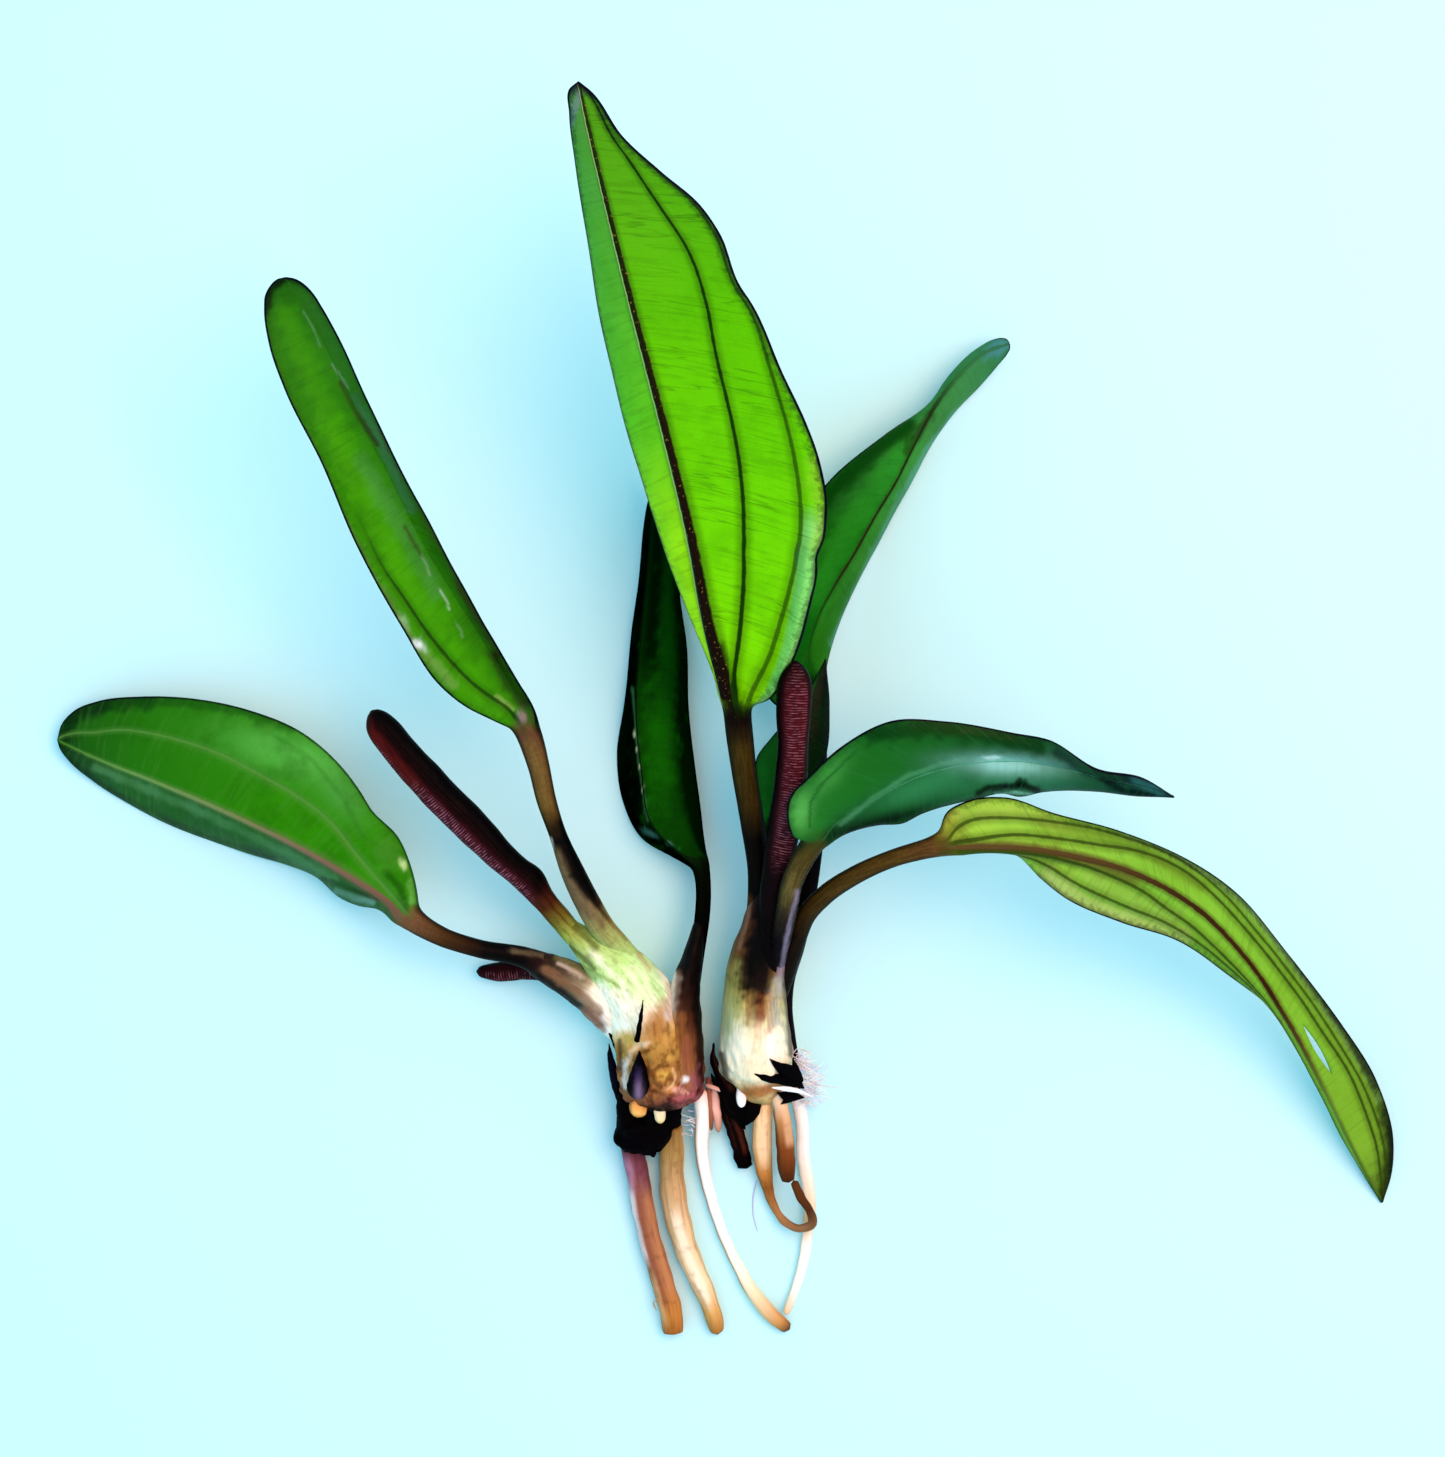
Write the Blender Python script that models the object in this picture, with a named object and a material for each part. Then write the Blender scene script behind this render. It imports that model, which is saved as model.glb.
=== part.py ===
"""An amazon sword plant, lifted bare-rooted and laid on a table.

Two crowns that touch at the rootstock carry eleven leaves, the roots and some dead scales.
Sizes are millimetres until a mesh is made. The x and y of every route are a plan as seen
from EYE_HEIGHT straight above the plant's middle, and z is a real height above the table.
What stands higher looks further out than it is, so `real` draws it in again.
"""

import bmesh
import bpy
import numpy as np

MM = 0.001
EYE_HEIGHT = 320.0
# The plan's own zero is moved to the middle of the finished plant's box.
PLANT_MIDDLE = np.array((0.2, -1.4, 0.0))
# Clearance between two pieces that touch.
GAP = 0.3
# A ring has this many points from one edge to the other, over the top.
HALF_RING = 6
BLADE_HALF_THICKNESS = 0.32
# The petiole's thickness runs out along this fraction of the blade.
RIB_FADE = 0.16
BLADE_STATIONS = 14
# 0 spaces the blade's rings evenly, 1 crowds them towards its base and its tip.
END_CROWDING = 0.7
PETIOLE_STEP = 4.2

# Leaves with an open blade. A petiole point is (x, y, z, radius); a rail point is (x, y, z).
# Left and right are as seen by someone who looks from the base to the tip.
LEAVES = {
    "big_leaf": {
        "crown": "right_crown",
        "petiole": [
            (2.4, -29.0, 5.0, 1.4), (3.1, -21.5, 6.4, 1.3), (3.75, -17.0, 7.9, 1.2),
            (3.6, -13.5, 9.6, 1.15), (3.0, -9.5, 11.4, 1.15), (2.2, -4.5, 13.6, 1.2),
            (1.5, 1.0, 15.6, 1.3),
        ],
        "left": [
            (-0.3, 3.3, 15.4), (-2.3, 8.9, 16.0), (-4.3, 13.2, 17.0), (-8.2, 24.9, 19.8),
            (-11.6, 37.6, 23.4), (-13.6, 47.5, 27.0), (-15.3, 59.5, 31.4), (-14.4, 64.7, 33.0),
        ],
        "midrib": [
            (1.3, 2.4, 16.0), (-1.0, 9.9, 19.0), (-3.1, 19.9, 22.4), (-5.6, 29.9, 25.6),
            (-8.4, 40.4, 28.4), (-11.2, 51.4, 31.0), (-13.4, 60.4, 32.6), (-14.4, 64.7, 33.0),
        ],
        "right": [
            (2.8, 2.2, 15.8), (5.6, 4.2, 16.0), (8.2, 9.9, 17.4), (10.0, 16.6, 20.0),
            (10.3, 21.4, 21.8), (8.9, 28.4, 24.0), (6.0, 35.4, 26.2), (2.2, 43.6, 28.4),
            (-2.2, 52.1, 30.4), (-7.2, 56.4, 31.4), (-11.6, 61.8, 32.5), (-14.4, 64.7, 33.0),
        ],
    },
    "upper_left_leaf": {
        "crown": "left_crown",
        "petiole": [
            (-8.6, -24.9, 6.4, 1.6), (-10.3, -22.2, 7.4, 1.6), (-12.1, -19.6, 8.6, 1.35),
            (-13.9, -16.9, 9.8, 1.2), (-15.2, -14.1, 10.8, 1.05), (-16.5, -10.1, 12.0, 0.95),
            (-17.6, -7.2, 12.8, 0.95), (-18.4, -3.7, 13.6, 1.05), (-19.3, -0.5, 14.2, 1.25),
        ],
        "left": [
            (-20.8, -0.2, 14.4), (-24.2, 1.5, 15.2), (-28.2, 4.2, 16.6), (-32.2, 9.8, 18.2),
            (-36.2, 17.6, 20.0), (-40.2, 26.8, 21.8), (-43.3, 32.4, 23.0), (-45.3, 38.3, 24.0),
            (-45.6, 42.8, 24.6), (-43.7, 45.1, 24.6),
        ],
        "midrib": [
            (-19.6, 0.4, 14.3), (-21.0, 3.8, 15.0), (-24.0, 9.0, 16.4), (-27.0, 13.8, 17.6),
            (-30.2, 19.2, 18.9), (-33.2, 25.2, 20.3), (-36.4, 31.2, 21.7), (-39.4, 37.8, 23.0),
            (-41.8, 42.2, 24.0), (-43.7, 45.1, 24.6),
        ],
        "right": [
            (-18.2, -0.4, 14.4), (-18.7, 1.6, 15.0), (-20.4, 4.6, 16.8), (-24.2, 11.2, 19.4),
            (-28.2, 18.5, 21.4), (-32.2, 25.8, 23.0), (-36.0, 33.3, 24.4), (-38.7, 39.8, 25.2),
            (-41.2, 44.2, 25.0), (-43.7, 45.1, 24.6),
        ],
    },
    "lower_left_leaf": {
        "crown": "left_crown",
        "petiole": [
            (-9.8, -27.2, 4.6, 2.2), (-12.2, -25.7, 4.9, 2.2), (-14.8, -24.3, 5.3, 1.9),
            (-17.5, -23.4, 5.8, 1.4), (-19.8, -22.9, 6.2, 1.05), (-24.4, -22.0, 6.8, 0.9),
            (-29.0, -20.4, 7.2, 1.0), (-31.0, -19.2, 7.3, 1.15),
        ],
        "left": [
            (-32.3, -19.6, 7.0), (-34.4, -18.6, 5.6), (-38.2, -16.9, 3.2), (-43.2, -13.8, 1.2),
            (-48.2, -12.1, 0.3), (-54.2, -10.1, 0.0), (-60.2, -7.1, 0.2), (-64.4, -4.0, 1.0),
            (-66.5, -1.2, 1.8),
        ],
        "midrib": [
            (-31.4, -18.8, 7.4), (-34.2, -16.8, 7.8), (-38.2, -14.3, 7.8), (-42.2, -12.0, 7.4),
            (-47.2, -9.5, 6.6), (-52.2, -7.2, 5.6), (-57.2, -5.1, 4.4), (-62.2, -3.1, 2.8),
            (-66.5, -1.2, 1.8),
        ],
        "right": [
            (-30.3, -18.0, 7.5), (-30.8, -15.1, 7.9), (-32.3, -10.9, 8.2), (-35.2, -7.4, 8.0),
            (-38.2, -2.6, 7.4), (-42.2, 0.2, 6.8), (-47.2, 2.1, 6.0), (-52.2, 2.9, 5.2),
            (-58.2, 3.2, 4.2), (-63.0, 2.5, 2.8), (-66.5, -1.2, 1.8),
        ],
    },
    "dark_leaf": {
        "crown": "left_crown",
        "petiole": [
            (-4.0, -29.5, 4.6, 1.2), (-3.3, -25.9, 5.0, 1.0), (-2.7, -22.4, 5.0, 0.75),
            (-2.0, -18.6, 4.7, 0.7), (-1.8, -15.4, 4.4, 0.75),
        ],
        "left": [
            (-2.7, -13.9, 4.0), (-5.2, -12.7, 2.6), (-8.2, -10.8, 0.8), (-10.0, -7.2, 0.0),
            (-10.5, -2.6, 0.0), (-9.7, 3.0, 0.2), (-9.0, 9.8, 0.4), (-8.1, 16.8, 0.8),
            (-7.4, 22.8, 2.0), (-6.3, 26.0, 3.4),
        ],
        "midrib": [
            (-2.0, -13.6, 4.6), (-4.8, -12.0, 4.8), (-7.0, -9.6, 4.8), (-8.1, -4.0, 4.9),
            (-8.6, 2.0, 5.0), (-8.1, 9.0, 5.2), (-7.4, 16.0, 5.0), (-6.9, 22.0, 4.2),
            (-6.3, 26.0, 3.4),
        ],
        "right": [
            (-1.3, -13.9, 4.0), (-1.7, -11.8, 3.4), (-2.2, -7.7, 2.6), (-2.8, -3.4, 2.4),
            (-3.4, 2.7, 2.4), (-3.6, 8.8, 2.6), (-4.2, 13.0, 2.8), (-4.5, 18.8, 3.0),
            (-5.1, 23.0, 3.2), (-6.3, 26.0, 3.4),
        ],
    },
    "upper_right_leaf": {
        "crown": "right_crown",
        "petiole": [
            (5.6, -31.0, 4.2, 1.1), (6.2, -27.0, 4.3, 1.0), (7.2, -22.0, 4.8, 0.95),
            (8.3, -17.5, 5.3, 0.9), (9.1, -12.5, 5.7, 0.85), (9.5, -6.0, 5.8, 0.9),
            (9.4, 0.0, 5.4, 1.0), (9.1, 3.5, 5.2, 1.1),
        ],
        "left": [
            (7.9, 3.9, 5.2), (5.6, 2.2, 5.2), (4.4, 3.4, 5.6), (4.4, 6.2, 6.0), (5.2, 11.9, 6.4),
            (7.0, 18.2, 6.6), (10.2, 24.1, 6.6), (15.0, 28.1, 6.2), (18.6, 30.9, 5.2),
            (21.6, 33.0, 3.6), (25.0, 36.4, 3.0), (28.4, 38.9, 3.2),
        ],
        "midrib": [
            (9.1, 5.2, 5.4), (9.0, 10.5, 6.0), (12.3, 16.5, 6.4), (14.6, 20.3, 6.6),
            (17.0, 24.6, 6.6), (19.6, 28.9, 6.4), (21.0, 32.4, 6.0), (23.6, 36.4, 5.2),
            (26.4, 38.9, 4.2), (28.4, 38.9, 3.2),
        ],
        "right": [
            (10.1, 4.7, 4.8), (10.9, 7.6, 2.6), (13.7, 15.1, 0.8), (16.0, 19.4, 0.1),
            (18.3, 23.9, 0.0), (20.7, 28.2, 0.2), (23.4, 31.8, 0.8), (25.9, 34.6, 1.6),
            (28.1, 37.4, 2.6), (28.4, 38.9, 3.2),
        ],
    },
    "small_leaf": {
        "crown": "right_crown",
        "petiole": [
            (4.6, -28.0, 4.6, 0.8), (5.5, -21.0, 5.8, 0.7), (5.6, -15.5, 7.0, 0.65),
            (4.9, -11.2, 7.8, 0.65),
        ],
        "left": [
            (4.1, -10.2, 7.7), (3.6, -6.6, 7.6), (3.4, -2.9, 7.8), (4.8, -1.0, 8.2),
            (6.8, 1.2, 8.6), (9.0, 4.6, 8.6), (10.3, 7.0, 8.4),
        ],
        "midrib": [
            (4.7, -10.0, 8.0), (5.6, -6.4, 8.6), (7.0, -2.6, 9.0), (8.6, 1.6, 9.0),
            (10.3, 7.0, 8.4),
        ],
        "right": [
            (5.5, -10.4, 7.8), (7.4, -8.2, 8.2), (9.6, -4.8, 8.4), (10.6, -1.6, 8.2),
            (10.7, 2.4, 8.0), (10.3, 7.0, 8.4),
        ],
    },
    "right_leaf": {
        "crown": "right_crown",
        "petiole": [
            (4.8, -27.6, 9.2, 1.1), (5.7, -22.2, 11.9, 1.05), (6.4, -18.2, 13.6, 1.05),
            (7.1, -14.9, 14.9, 1.05), (8.2, -12.5, 15.9, 1.15),
        ],
        "left": [
            (8.4, -11.0, 16.2), (7.0, -10.7, 16.8), (6.5, -9.3, 17.2), (6.8, -7.2, 17.8),
            (8.8, -4.6, 18.8), (12.2, -1.6, 20.0), (17.0, 0.8, 21.0), (22.4, 0.8, 21.2),
            (29.0, -0.2, 20.4), (33.2, -1.2, 19.2), (37.4, -3.9, 17.4), (42.2, -4.8, 14.8),
            (45.2, -6.8, 13.0),
        ],
        "midrib": [
            (9.3, -11.0, 16.2), (12.0, -8.9, 17.2), (15.8, -6.7, 18.4), (19.5, -4.8, 19.2),
            (24.0, -3.6, 19.4), (29.0, -3.2, 18.8), (34.0, -3.9, 17.4), (38.5, -5.0, 15.8),
            (42.0, -5.7, 14.4), (45.2, -6.8, 13.0),
        ],
        "right": [
            (9.9, -11.9, 15.6), (12.5, -10.3, 15.6), (15.9, -9.4, 16.0), (19.5, -8.5, 16.6),
            (25.4, -7.3, 16.8), (30.0, -6.5, 16.2), (35.5, -6.3, 15.0), (41.4, -6.6, 13.6),
            (45.2, -6.8, 13.0),
        ],
    },
    "drooping_leaf": {
        "crown": "right_crown",
        "petiole": [
            (6.6, -27.6, 6.4, 1.0), (7.55, -21.0, 9.0, 0.95), (8.3, -18.8, 10.1, 0.95),
            (10.2, -16.7, 11.6, 0.95), (13.2, -14.7, 13.4, 0.9), (17.0, -13.0, 15.2, 0.85),
            (21.2, -11.8, 16.8, 0.95),
        ],
        "left": [
            (21.8, -10.4, 17.0), (23.0, -8.2, 17.4), (26.4, -7.0, 18.0), (30.0, -7.2, 18.6),
            (36.0, -9.3, 19.0), (44.2, -12.3, 18.0), (49.6, -15.6, 16.0), (55.8, -22.3, 12.2),
            (61.8, -29.4, 8.2), (65.6, -35.4, 5.0), (67.0, -41.7, 2.2), (66.0, -47.4, 0.2),
        ],
        "midrib": [
            (22.6, -11.6, 17.2), (27.8, -11.6, 18.6), (34.0, -12.5, 19.6), (41.0, -14.4, 19.2),
            (47.0, -17.7, 17.4), (52.2, -22.8, 14.2), (56.4, -29.0, 10.4), (59.9, -35.6, 6.4),
            (63.4, -42.8, 2.6), (66.0, -47.4, 0.2),
        ],
        "right": [
            (23.4, -12.5, 16.8), (29.2, -12.5, 17.6), (32.6, -16.0, 17.6), (38.4, -18.8, 17.2),
            (45.2, -21.4, 15.8), (50.2, -24.4, 13.0), (54.8, -28.3, 9.4), (58.4, -34.0, 5.0),
            (62.2, -41.4, 1.0), (66.0, -47.4, 0.2),
        ],
    },
}

# Solid lengths. A station is (x, y, z, half width in plan, half height).
CROWNS = {
    "left_crown": [
        (-5.6, -38.2, 3.5, 1.8, 1.6), (-5.6, -36.9, 3.7, 3.7, 3.4), (-5.8, -34.4, 4.1, 4.4, 4.5),
        (-6.2, -31.8, 4.3, 4.4, 4.8), (-7.1, -29.2, 4.6, 4.1, 4.6), (-8.7, -26.6, 5.0, 3.5, 3.8),
        (-10.5, -24.3, 5.7, 3.0, 3.0), (-12.2, -22.2, 6.6, 2.3, 2.3), (-13.3, -20.9, 7.2, 1.3, 1.4),
    ],
    "right_crown": [
        (2.0, -36.7, 3.4, 0.9, 0.9), (2.3, -35.5, 3.6, 2.0, 2.6), (3.0, -33.4, 3.9, 3.1, 4.2),
        (3.2, -31.2, 4.2, 3.4, 4.7), (3.3, -28.7, 4.6, 3.4, 4.7), (3.4, -25.8, 5.4, 3.1, 4.2),
        (3.6, -23.4, 6.4, 2.5, 3.4), (3.8, -21.6, 7.0, 1.6, 2.4),
    ],
}
CROWN_SIDES = 16
CROWN_STATIONS = 13

ROLLED_LEAVES = {
    "young_red_leaf": [
        (-12.9, -22.4, 6.7, 1.2, 1.1), (-14.8, -20.6, 7.1, 1.2, 1.1), (-16.4, -18.7, 7.6, 1.2, 1.1),
        (-19.1, -16.0, 8.4, 1.3, 1.2), (-21.8, -13.2, 9.2, 1.5, 1.3),
        (-24.9, -9.8, 10.1, 1.75, 1.4), (-28.3, -6.4, 10.9, 1.75, 1.4),
        (-31.9, -2.4, 11.9, 1.6, 1.3), (-34.0, 0.2, 12.4, 1.5, 1.2), (-35.1, 1.8, 12.7, 0.8, 0.7),
    ],
    "tiny_red_leaf": [
        (-15.6, -24.9, 2.3, 0.8, 0.7), (-19.2, -24.2, 2.2, 0.9, 0.8), (-22.6, -24.3, 1.8, 0.95, 0.8),
        (-24.6, -24.3, 1.5, 0.5, 0.45),
    ],
    "spear_leaf": [
        (4.0, -28.0, 6.2, 1.2, 1.2), (4.4, -24.6, 7.7, 1.3, 1.25), (4.9, -20.0, 9.6, 1.35, 1.3),
        (5.4, -15.2, 11.6, 1.45, 1.3), (6.2, -10.2, 13.4, 1.6, 1.35), (7.0, -4.2, 15.4, 1.75, 1.4),
        (7.2, 1.0, 16.8, 1.75, 1.4), (7.3, 5.0, 17.8, 1.5, 1.2), (7.3, 6.8, 18.2, 0.7, 0.6),
    ],
}
ROOTS = {
    "purple_root": [
        (-9.3, -40.6, 2.6, 1.1, 1.1), (-9.0, -42.2, 2.1, 1.2, 1.15), (-8.4, -45.0, 1.5, 1.2, 1.15),
        (-7.8, -48.6, 1.15, 1.2, 1.1), (-7.0, -52.0, 1.1, 1.2, 1.1), (-5.9, -55.6, 1.1, 1.2, 1.1),
        (-5.1, -58.8, 1.1, 1.2, 1.1), (-4.9, -60.6, 1.0, 0.9, 0.9),
    ],
    "tan_root": [
        (-5.2, -39.6, 2.6, 1.1, 1.1), (-5.1, -41.6, 2.1, 1.2, 1.15), (-5.1, -44.8, 1.5, 1.25, 1.2),
        (-4.6, -48.4, 1.2, 1.3, 1.2), (-3.4, -52.6, 1.1, 1.15, 1.1), (-2.0, -55.8, 1.0, 1.0, 1.0),
        (-0.9, -58.8, 0.85, 0.85, 0.85), (-0.5, -60.6, 0.8, 0.6, 0.6),
    ],
    "long_white_root": [
        (-2.2, -36.0, 3.4, 0.7, 0.7), (-2.0, -38.5, 2.6, 0.75, 0.75), (-2.1, -42.0, 1.5, 0.75, 0.75),
        (-1.2, -46.4, 0.8, 0.75, 0.75), (0.2, -50.6, 0.75, 0.75, 0.75),
        (1.7, -54.0, 0.75, 0.75, 0.75), (3.2, -56.6, 0.75, 0.75, 0.75),
        (5.0, -58.7, 0.75, 0.75, 0.75), (6.7, -60.1, 0.75, 0.6, 0.6),
    ],
    "hooked_root": [
        (4.0, -35.8, 3.4, 0.95, 0.95), (4.0, -39.0, 2.5, 1.0, 1.0), (4.1, -42.6, 1.6, 1.0, 1.0),
        (4.3, -45.2, 1.1, 0.95, 0.95), (5.0, -47.8, 1.0, 0.8, 0.8), (6.4, -49.6, 1.6, 0.7, 0.7),
        (8.1, -50.1, 2.4, 0.7, 0.7), (9.0, -49.0, 2.8, 0.7, 0.7), (8.4, -47.6, 2.9, 0.55, 0.55),
        (7.7, -46.7, 2.9, 0.4, 0.4),
    ],
    "short_brown_root": [
        (5.5, -35.8, 4.6, 0.8, 0.8), (6.0, -39.0, 4.3, 0.8, 0.8), (6.4, -42.6, 4.0, 0.85, 0.85),
        (6.5, -45.4, 3.8, 0.75, 0.75),
    ],
    "cream_root": [
        (6.4, -34.8, 3.2, 0.6, 0.6), (7.6, -37.6, 2.4, 0.65, 0.65), (8.1, -43.0, 1.0, 0.65, 0.65),
        (8.6, -47.4, 0.65, 0.65, 0.65), (8.6, -50.6, 0.65, 0.65, 0.65),
        (8.1, -53.6, 0.65, 0.6, 0.6), (7.4, -56.2, 0.65, 0.55, 0.55),
        (6.9, -57.9, 0.65, 0.45, 0.45),
    ],
    "dead_root": [
        (0.3, -36.4, 2.8, 0.7, 0.7), (0.9, -38.6, 2.1, 0.8, 0.8), (1.75, -41.5, 1.0, 0.75, 0.75),
        (2.4, -44.0, 0.7, 0.7, 0.65),
    ],
    "pink_rootlet": [
        (-0.7, -36.0, 3.7, 0.4, 0.4), (-0.6, -38.0, 3.0, 0.45, 0.45), (-0.4, -39.8, 2.3, 0.35, 0.35),
    ],
    "orange_bud": [
        (-8.2, -36.6, 5.0, 0.7, 0.7), (-8.4, -38.0, 5.6, 0.9, 0.85), (-8.5, -38.9, 5.6, 0.6, 0.6),
    ],
    "cream_bud": [
        (-6.4, -36.6, 5.6, 0.5, 0.5), (-6.4, -38.2, 5.4, 0.6, 0.55), (-6.3, -39.4, 5.2, 0.4, 0.4),
    ],
    "white_bud": [
        (1.9, -35.6, 4.8, 0.45, 0.45), (1.9, -37.0, 4.7, 0.5, 0.5), (1.9, -37.9, 4.5, 0.35, 0.35),
    ],
}
DEAD_PIECES = {
    "dead_stump": [
        (-10.7, -39.8, 2.2, 0.8, 0.9), (-9.6, -40.2, 2.3, 1.7, 1.9), (-7.6, -40.3, 2.4, 2.2, 2.1),
        (-5.8, -39.6, 2.3, 1.6, 1.8), (-4.3, -39.1, 2.3, 0.7, 0.8),
    ],
    "left_scale": [
        (-11.4, -32.4, 5.6, 0.15, 0.15), (-11.2, -34.2, 4.8, 0.5, 0.25),
        (-10.6, -36.6, 3.4, 0.5, 0.25),
    ],
    "spike_scale": [
        (-8.0, -32.0, 9.6, 0.15, 0.15), (-7.9, -34.4, 8.7, 0.9, 0.25), (-7.8, -36.6, 7.7, 1.1, 0.25),
        (-7.8, -37.6, 7.0, 0.8, 0.2),
    ],
    "thin_spine": [
        (-7.9, -27.4, 10.2, 0.1, 0.1), (-8.5, -29.6, 10.0, 0.3, 0.2), (-8.7, -31.4, 9.8, 0.35, 0.2),
    ],
    "right_scale": [
        (3.2, -34.4, 8.6, 0.15, 0.15), (5.0, -34.6, 7.6, 0.8, 0.25), (6.6, -34.9, 6.4, 0.9, 0.25),
        (7.9, -35.5, 5.4, 0.3, 0.2),
    ],
    "lower_right_scale": [
        (5.8, -36.6, 5.9, 0.3, 0.2), (6.8, -36.9, 5.4, 0.7, 0.25), (7.7, -37.2, 4.8, 0.3, 0.2),
    ],
}
ROLLED_SIDES = 10
ROOT_SIDES = 8
SCALE_SIDES = 6
# A tube gets a ring about every this many millimetres.
TUBE_STEP = 2.0

# Base colours, linear, for a plain view of the pieces.
GREEN = (0.08, 0.35, 0.02)
DARK_GREEN = (0.01, 0.06, 0.01)
BLUE_GREEN = (0.04, 0.20, 0.06)
YELLOW_GREEN = (0.30, 0.50, 0.06)
MAROON = (0.07, 0.01, 0.01)
PALE_SHEATH = (0.60, 0.65, 0.30)
ROOT_TAN = (0.55, 0.33, 0.13)
ROOT_CREAM = (0.80, 0.68, 0.45)
DEAD_BLACK = (0.01, 0.007, 0.006)
COLOURS = {
    "dark_leaf": DARK_GREEN,
    "small_leaf": DARK_GREEN,
    "upper_right_leaf": BLUE_GREEN,
    "right_leaf": BLUE_GREEN,
    "drooping_leaf": YELLOW_GREEN,
    "long_white_root": ROOT_CREAM,
    "cream_root": ROOT_CREAM,
    "cream_bud": ROOT_CREAM,
    "white_bud": ROOT_CREAM,
    "dead_root": DEAD_BLACK,
}


def clear_scene():
    for obj in list(bpy.data.objects):
        bpy.data.objects.remove(obj, do_unlink=True)


def finish(name, colour, roughness):
    """A Principled material for one piece."""
    material = bpy.data.materials.new(name)
    material.use_nodes = True
    shader = material.node_tree.nodes["Principled BSDF"]
    shader.inputs["Base Color"].default_value = (*colour, 1.0)
    shader.inputs["Roughness"].default_value = roughness
    shader.inputs["Metallic"].default_value = 0.0
    return material


def real(points):
    """Plan points moved to where they really are, and to the middle of the plant."""
    points = np.array(points, float)
    points[..., :2] *= 1.0 - points[..., 2:3] / EYE_HEIGHT
    return points - PLANT_MIDDLE


def along(points, fractions):
    """A smooth curve through the points (columns may be widths too), read at the fractions.

    Each span is a cubic whose slopes are the chords of the points on either side.
    """
    points = np.array(points, float)
    spans = np.linalg.norm(np.diff(points[:, :3], axis=0), axis=1)
    at = np.concatenate([[0.0], np.cumsum(spans)]) / spans.sum()
    slopes = np.gradient(points, at, axis=0)
    index = np.clip(np.searchsorted(at, fractions, side="right") - 1, 0, len(at) - 2)
    width = (at[index + 1] - at[index])[:, None]
    u = (fractions[:, None] - at[index][:, None]) / width
    start, end = points[index], points[index + 1]
    return (
        (2 * u**3 - 3 * u**2 + 1) * start
        + (u**3 - 2 * u**2 + u) * width * slopes[index]
        + (3 * u**2 - 2 * u**3) * end
        + (u**3 - u**2) * width * slopes[index + 1]
    )


def unit(vectors):
    return vectors / np.linalg.norm(vectors, axis=-1, keepdims=True)


def side_and_up(centres):
    """At each point of a path: level across it towards its right, and square to both."""
    ahead = unit(np.gradient(centres, axis=0))
    side = unit(np.cross(ahead, (0.0, 0.0, 1.0)))
    return side, np.cross(side, ahead)


def elliptic_rings(centres, half_width, half_height, sides):
    side, up = side_and_up(centres)
    angle = np.pi - 2 * np.pi * np.arange(sides) / sides
    level = np.cos(angle)[None, :, None] * half_width[:, None, None] * side[:, None, :]
    upright = np.sin(angle)[None, :, None] * half_height[:, None, None] * up[:, None, :]
    return centres[:, None, :] + level + upright


def blade_rings(left, midrib, right, petiole_radius):
    """Lens-shaped rings over three rails: straight halves that meet at the midrib."""
    even = np.linspace(0.0, 1.0, BLADE_STATIONS + 1)[1:-1]
    fractions = (1 - END_CROWDING) * even + END_CROWDING * (1 - np.cos(np.pi * even)) / 2
    left, midrib, right = (real(along(rail, fractions)) for rail in (left, midrib, right))
    ahead = unit(np.gradient(midrib, axis=0))
    across = -np.cos(np.pi * np.arange(HALF_RING + 1) / HALF_RING)
    rib = (petiole_radius - BLADE_HALF_THICKNESS) * np.exp(-fractions / RIB_FADE)
    top, bottom = [], []
    for u in across:
        half = (right - midrib) if u > 0 else (midrib - left)
        middle = midrib + half * u
        half = half if abs(u) > 0.01 else right - left
        normal = unit(np.cross(unit(half), ahead))
        thickness = BLADE_HALF_THICKNESS * np.sqrt(max(0.0, 1 - u * u)) + rib * (1 - abs(u)) ** 2
        top.append(middle + normal * thickness[:, None])
        bottom.append(middle - normal * thickness[:, None])
    return np.stack(top + bottom[-2:0:-1], axis=1)


def skin(name, rings, colour, roughness, helper=False):
    """One closed mesh over the rings, fanned to a point at both ends, no lower than the table."""
    rings = rings.copy()
    rings[..., 2] = np.maximum(rings[..., 2], 0.0)
    count, sides = rings.shape[:2]
    ends = np.stack([rings[0].mean(axis=0), rings[-1].mean(axis=0)])
    verts = np.concatenate([rings.reshape(-1, 3), ends]) * MM
    first, last = count * sides, count * sides + 1
    faces = []
    for k in range(sides):
        after = (k + 1) % sides
        faces.append((first, after, k))
        faces.append((last, (count - 1) * sides + k, (count - 1) * sides + after))
        for ring in range(count - 1):
            low, high = ring * sides, (ring + 1) * sides
            faces.append((low + k, low + after, high + after))
            faces.append((low + k, high + after, high + k))
    mesh = bpy.data.meshes.new(name)
    mesh.from_pydata(verts.tolist(), [], faces)
    work = bmesh.new()
    work.from_mesh(mesh)
    bmesh.ops.recalc_face_normals(work, faces=work.faces)
    work.to_mesh(mesh)
    work.free()
    mesh.shade_smooth()
    mesh.materials.append(finish(name, colour, roughness))
    obj = bpy.data.objects.new(name, mesh)
    bpy.context.scene.collection.objects.link(obj)
    if helper:
        obj.hide_render = True
        obj.display_type = "WIRE"
    return obj


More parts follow.
